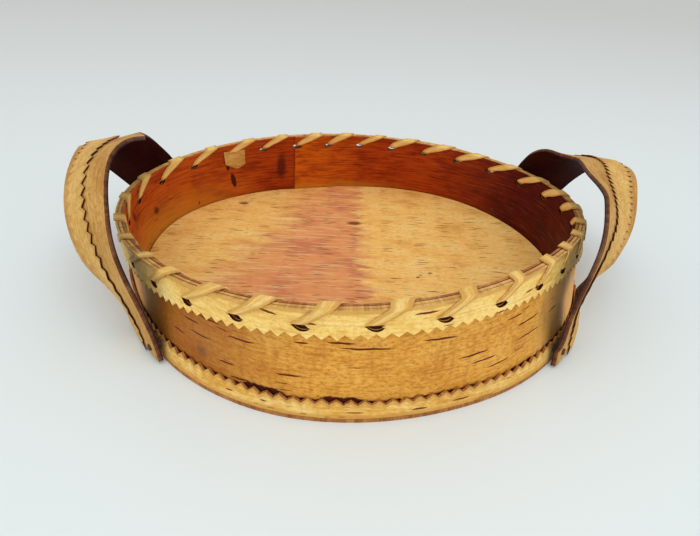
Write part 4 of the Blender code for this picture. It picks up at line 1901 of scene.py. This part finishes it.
    def strap_half(self, phase: float) -> float:
        """Return a strap's half width by number of the tooth."""
        waver = noise.noise(Vector((phase * self.waver_pitch, self.strap_seed, 0.0)))
        return self.strap_width / 2 * (1 + self.edge_waver * waver)

    def trim_half(self, phase: float) -> float:
        """Return the trim's half width by number of the tooth."""
        return self.trim_width / 2 - self.tooth_depth * zigzag(phase)

    def build(self) -> None:
        """Build and deliver the three layers and the two pegs."""
        look, side = self.finishes, self.side.value
        outer_lift = self.underside_lift + self.inner_thickness + self.layer_gap
        trim_lift = outer_lift + self.outer_thickness + self.layer_gap
        inner = self.layer(f"handle_{side}_inner_bark", self.underside_lift,
                           self.inner_thickness, self.strap_half, 0.0, 0.0, self.strap_seed,
                           (look.maroon, look.dark_edge_and_shade, look.grey_line_edge, look.maroon))
        outer = self.layer(f"handle_{side}_outer_bark", outer_lift,
                           self.outer_thickness, self.strap_half, 0.0, 0.0, self.strap_seed,
                           (look.strap, look.strap_edge, look.strap_edge, look.maroon))
        # The trim's edge next to its back takes the dark edge, partly as painted shade under its
        # teeth.
        trim = self.layer(f"handle_{side}_trim_bark", trim_lift, self.trim_thickness,
                          self.trim_half, self.trim_offset, self.trim_curl, self.trim_seed,
                          (look.trim, look.dark_edge_and_shade, look.trim_edge, look.dark_edge_and_shade))
        Shop.deliver(inner, Slot.MAROON, f"handle_{side}_inner")
        Shop.deliver(outer, Slot.TAN, f"handle_{side}_outer")
        Shop.deliver(trim, Slot.STRAW, f"handle_{side}_trim")
        for end in End:
            Shop.deliver(self.peg(end), Slot.WOOD, self.peg_node(end))


def spline(knots: np.ndarray, values: np.ndarray, samples: np.ndarray) -> np.ndarray:
    """Read a natural cubic curve.

    Args:
        knots: Rising places of the rows.
        values: Rows of values at the knots.
        samples: Places to read.

    Returns:
        Rows of values at the samples.
    """
    gaps = np.diff(knots)
    count = len(knots)
    system = np.eye(count)
    right = np.zeros_like(values)
    for i in range(1, count - 1):
        system[i, i - 1:i + 2] = gaps[i - 1], 2 * (gaps[i - 1] + gaps[i]), gaps[i]
        slopes = (values[i + 1] - values[i]) / gaps[i] - (values[i] - values[i - 1]) / gaps[i - 1]
        right[i] = 6 * slopes
    bend = np.linalg.solve(system, right)
    out = []
    for sample in samples:
        i = min(count - 2, max(0, int(np.searchsorted(knots, sample)) - 1))
        a = (knots[i + 1] - sample) / gaps[i]
        b = (sample - knots[i]) / gaps[i]
        curve = ((a ** 3 - a) * bend[i] + (b ** 3 - b) * bend[i + 1]) * gaps[i] ** 2 / 6
        out.append(a * values[i] + b * values[i + 1] + curve)
    return np.array(out)


@dataclass(frozen=True)
class Lamp:
    """A square soft lamp that looks at the basket, with its side in metres and power in watts."""

    name: str
    place: Place
    size: float
    power: float
    tint: Tint = (232, 250, 255)
    target: Place = (0.0, 0.0, 0.03)

    def hang(self) -> None:
        """Hang the lamp."""
        data = bpy.data.lights.new(self.name, "AREA")
        data.size = self.size
        data.energy = self.power
        data.color = linear(self.tint)[:3]
        obj = Shop.link(self.name, data)
        obj.location = self.place
        aim = Vector(self.target) - Vector(self.place)
        obj.rotation_euler = aim.to_track_quat("-Z", "Y").to_euler()


@dataclass
class Studio:
    """Pale floor, soft lamps and the camera at the photograph's viewing angle.

    The camera's lens and sensor are in millimetres, and everything else is in metres.
    """

    camera_place: Place = (-0.0004, -0.2778, 0.1578)
    pitch_deg: float = 30.2
    roll_deg: float = 2.92
    lens: float = 27.05
    sensor: float = 36.0
    clip_start: float = 0.01
    clip_end: float = 50.0
    floor_size: float = 12.0
    floor_cells: int = 4
    floor_tint: Tint = (229, 234, 235)
    floor_roughness: float = 0.75
    floor_specular: float = 0.1
    world_tint: Tint = (255, 252, 248)
    world_strength: float = 0.70
    lamps: Tuple[Lamp, ...] = (
        Lamp("top_lamp", (0.10, -0.55, 1.4), 1.2, 6.0),
        Lamp("front_lamp", (0.05, -1.3, 0.75), 1.0, 3.4),
        Lamp("left_lamp", (-1.1, -0.7, 0.7), 0.8, 1.4),
        Lamp("right_lamp", (1.1, -0.7, 0.7), 0.8, 2.0),
    )

    def camera(self) -> None:
        """Place the camera."""
        pitch, roll = math.radians(self.pitch_deg), math.radians(self.roll_deg)
        ahead = Vector((0, math.cos(pitch), -math.sin(pitch)))
        right = Vector((1, 0, 0))
        up = right.cross(ahead)
        turned_right = right * math.cos(roll) + up * math.sin(roll)
        turned_up = up * math.cos(roll) - right * math.sin(roll)
        data = bpy.data.cameras.new("photo_camera")
        data.lens = self.lens
        data.sensor_fit = "HORIZONTAL"
        data.sensor_width = self.sensor
        data.clip_start = self.clip_start
        data.clip_end = self.clip_end
        obj = Shop.link("photo_camera", data)
        turn = Matrix((turned_right, turned_up, -ahead)).transposed().to_4x4()
        turn.translation = Vector(self.camera_place)
        obj.matrix_world = turn
        bpy.context.scene.camera = obj

    def floor(self) -> None:
        """Lay the table."""
        bm = bmesh.new()
        bmesh.ops.create_grid(bm, x_segments=self.floor_cells, y_segments=self.floor_cells,
                              size=self.floor_size / 2)
        graph = Graph("studio paper")
        shader = graph.node("BsdfPrincipled", {}, {"Base Color": linear(self.floor_tint),
                                                   "Roughness": self.floor_roughness,
                                                   "Specular IOR Level": self.floor_specular})
        Shop.from_bmesh("studio_floor", bm, [graph.finish(shader)])

    def world(self) -> None:
        """Give the room an even pale light."""
        world = bpy.data.worlds.new("studio")
        bpy.context.scene.world = world
        world.use_nodes = True
        shader = world.node_tree.nodes["Background"]
        shader.inputs["Color"].default_value = linear(self.world_tint)
        shader.inputs["Strength"].default_value = self.world_strength

    def build(self) -> None:
        """Set up the whole studio."""
        self.camera()
        self.floor()
        for lamp in self.lamps:
            lamp.hang()
        self.world()
        bpy.context.scene.view_settings.view_transform = "Standard"


LEFT_PATH_SHARES = (
    (-0.93, 0.915, 0.455, 53, -5),
    (-0.68, 1.12, 0.71, 45, -10),
    (-0.42, 0.64, 0.945, 31, -27),
    (0.11, -0.31, 0.97, 5, -10),
    (0.425, 0.49, 0.845, -33, -11),
    (0.67, 1.05, 0.70, -29, -12),
    (0.93, 0.87, 0.345, -43, -7),
)
RIGHT_PATH_SHARES = (
    (-1.08, 0.46, 0.42, 68, -12),
    (-0.915, 0.82, 0.64, 58, 2),
    (-0.56, 0.89, 0.77, 57, -13),
    (0.005, 0.80, 0.85, 4, -21),
    (0.46, 1.25, 0.82, -53, 9),
    (0.78, 0.68, 0.625, -33, 13),
    (0.925, 0.66, 0.38, -44, -13),
)


def main() -> None:
    """Build the studio and every part of the basket in order."""
    logging.basicConfig(level=logging.INFO, format="%(name)s: %(message)s")
    Studio().build()
    outline = Outline()
    finishes = Finishes()
    wall = WallSet(outline, finishes)
    wall.build()
    RimLacing(outline, wall, finishes).build()
    FloorSet(outline, finishes).build()
    CarryHandle(Side.LEFT, outline, finishes, turn_deg=8.5, foot_deg=(34.5, 34.1),
                lean_share=(0.22, 0.38), front_twist_share=0.0,
                path_shares=LEFT_PATH_SHARES).build()
    CarryHandle(Side.RIGHT, outline, finishes, turn_deg=-2.9, foot_deg=(33.0, 35.7),
                lean_share=(0.10, 0.27), front_twist_share=-0.02, front_cut_share=0.85,
                path_shares=RIGHT_PATH_SHARES).build()


if __name__ == "__main__":
    main()
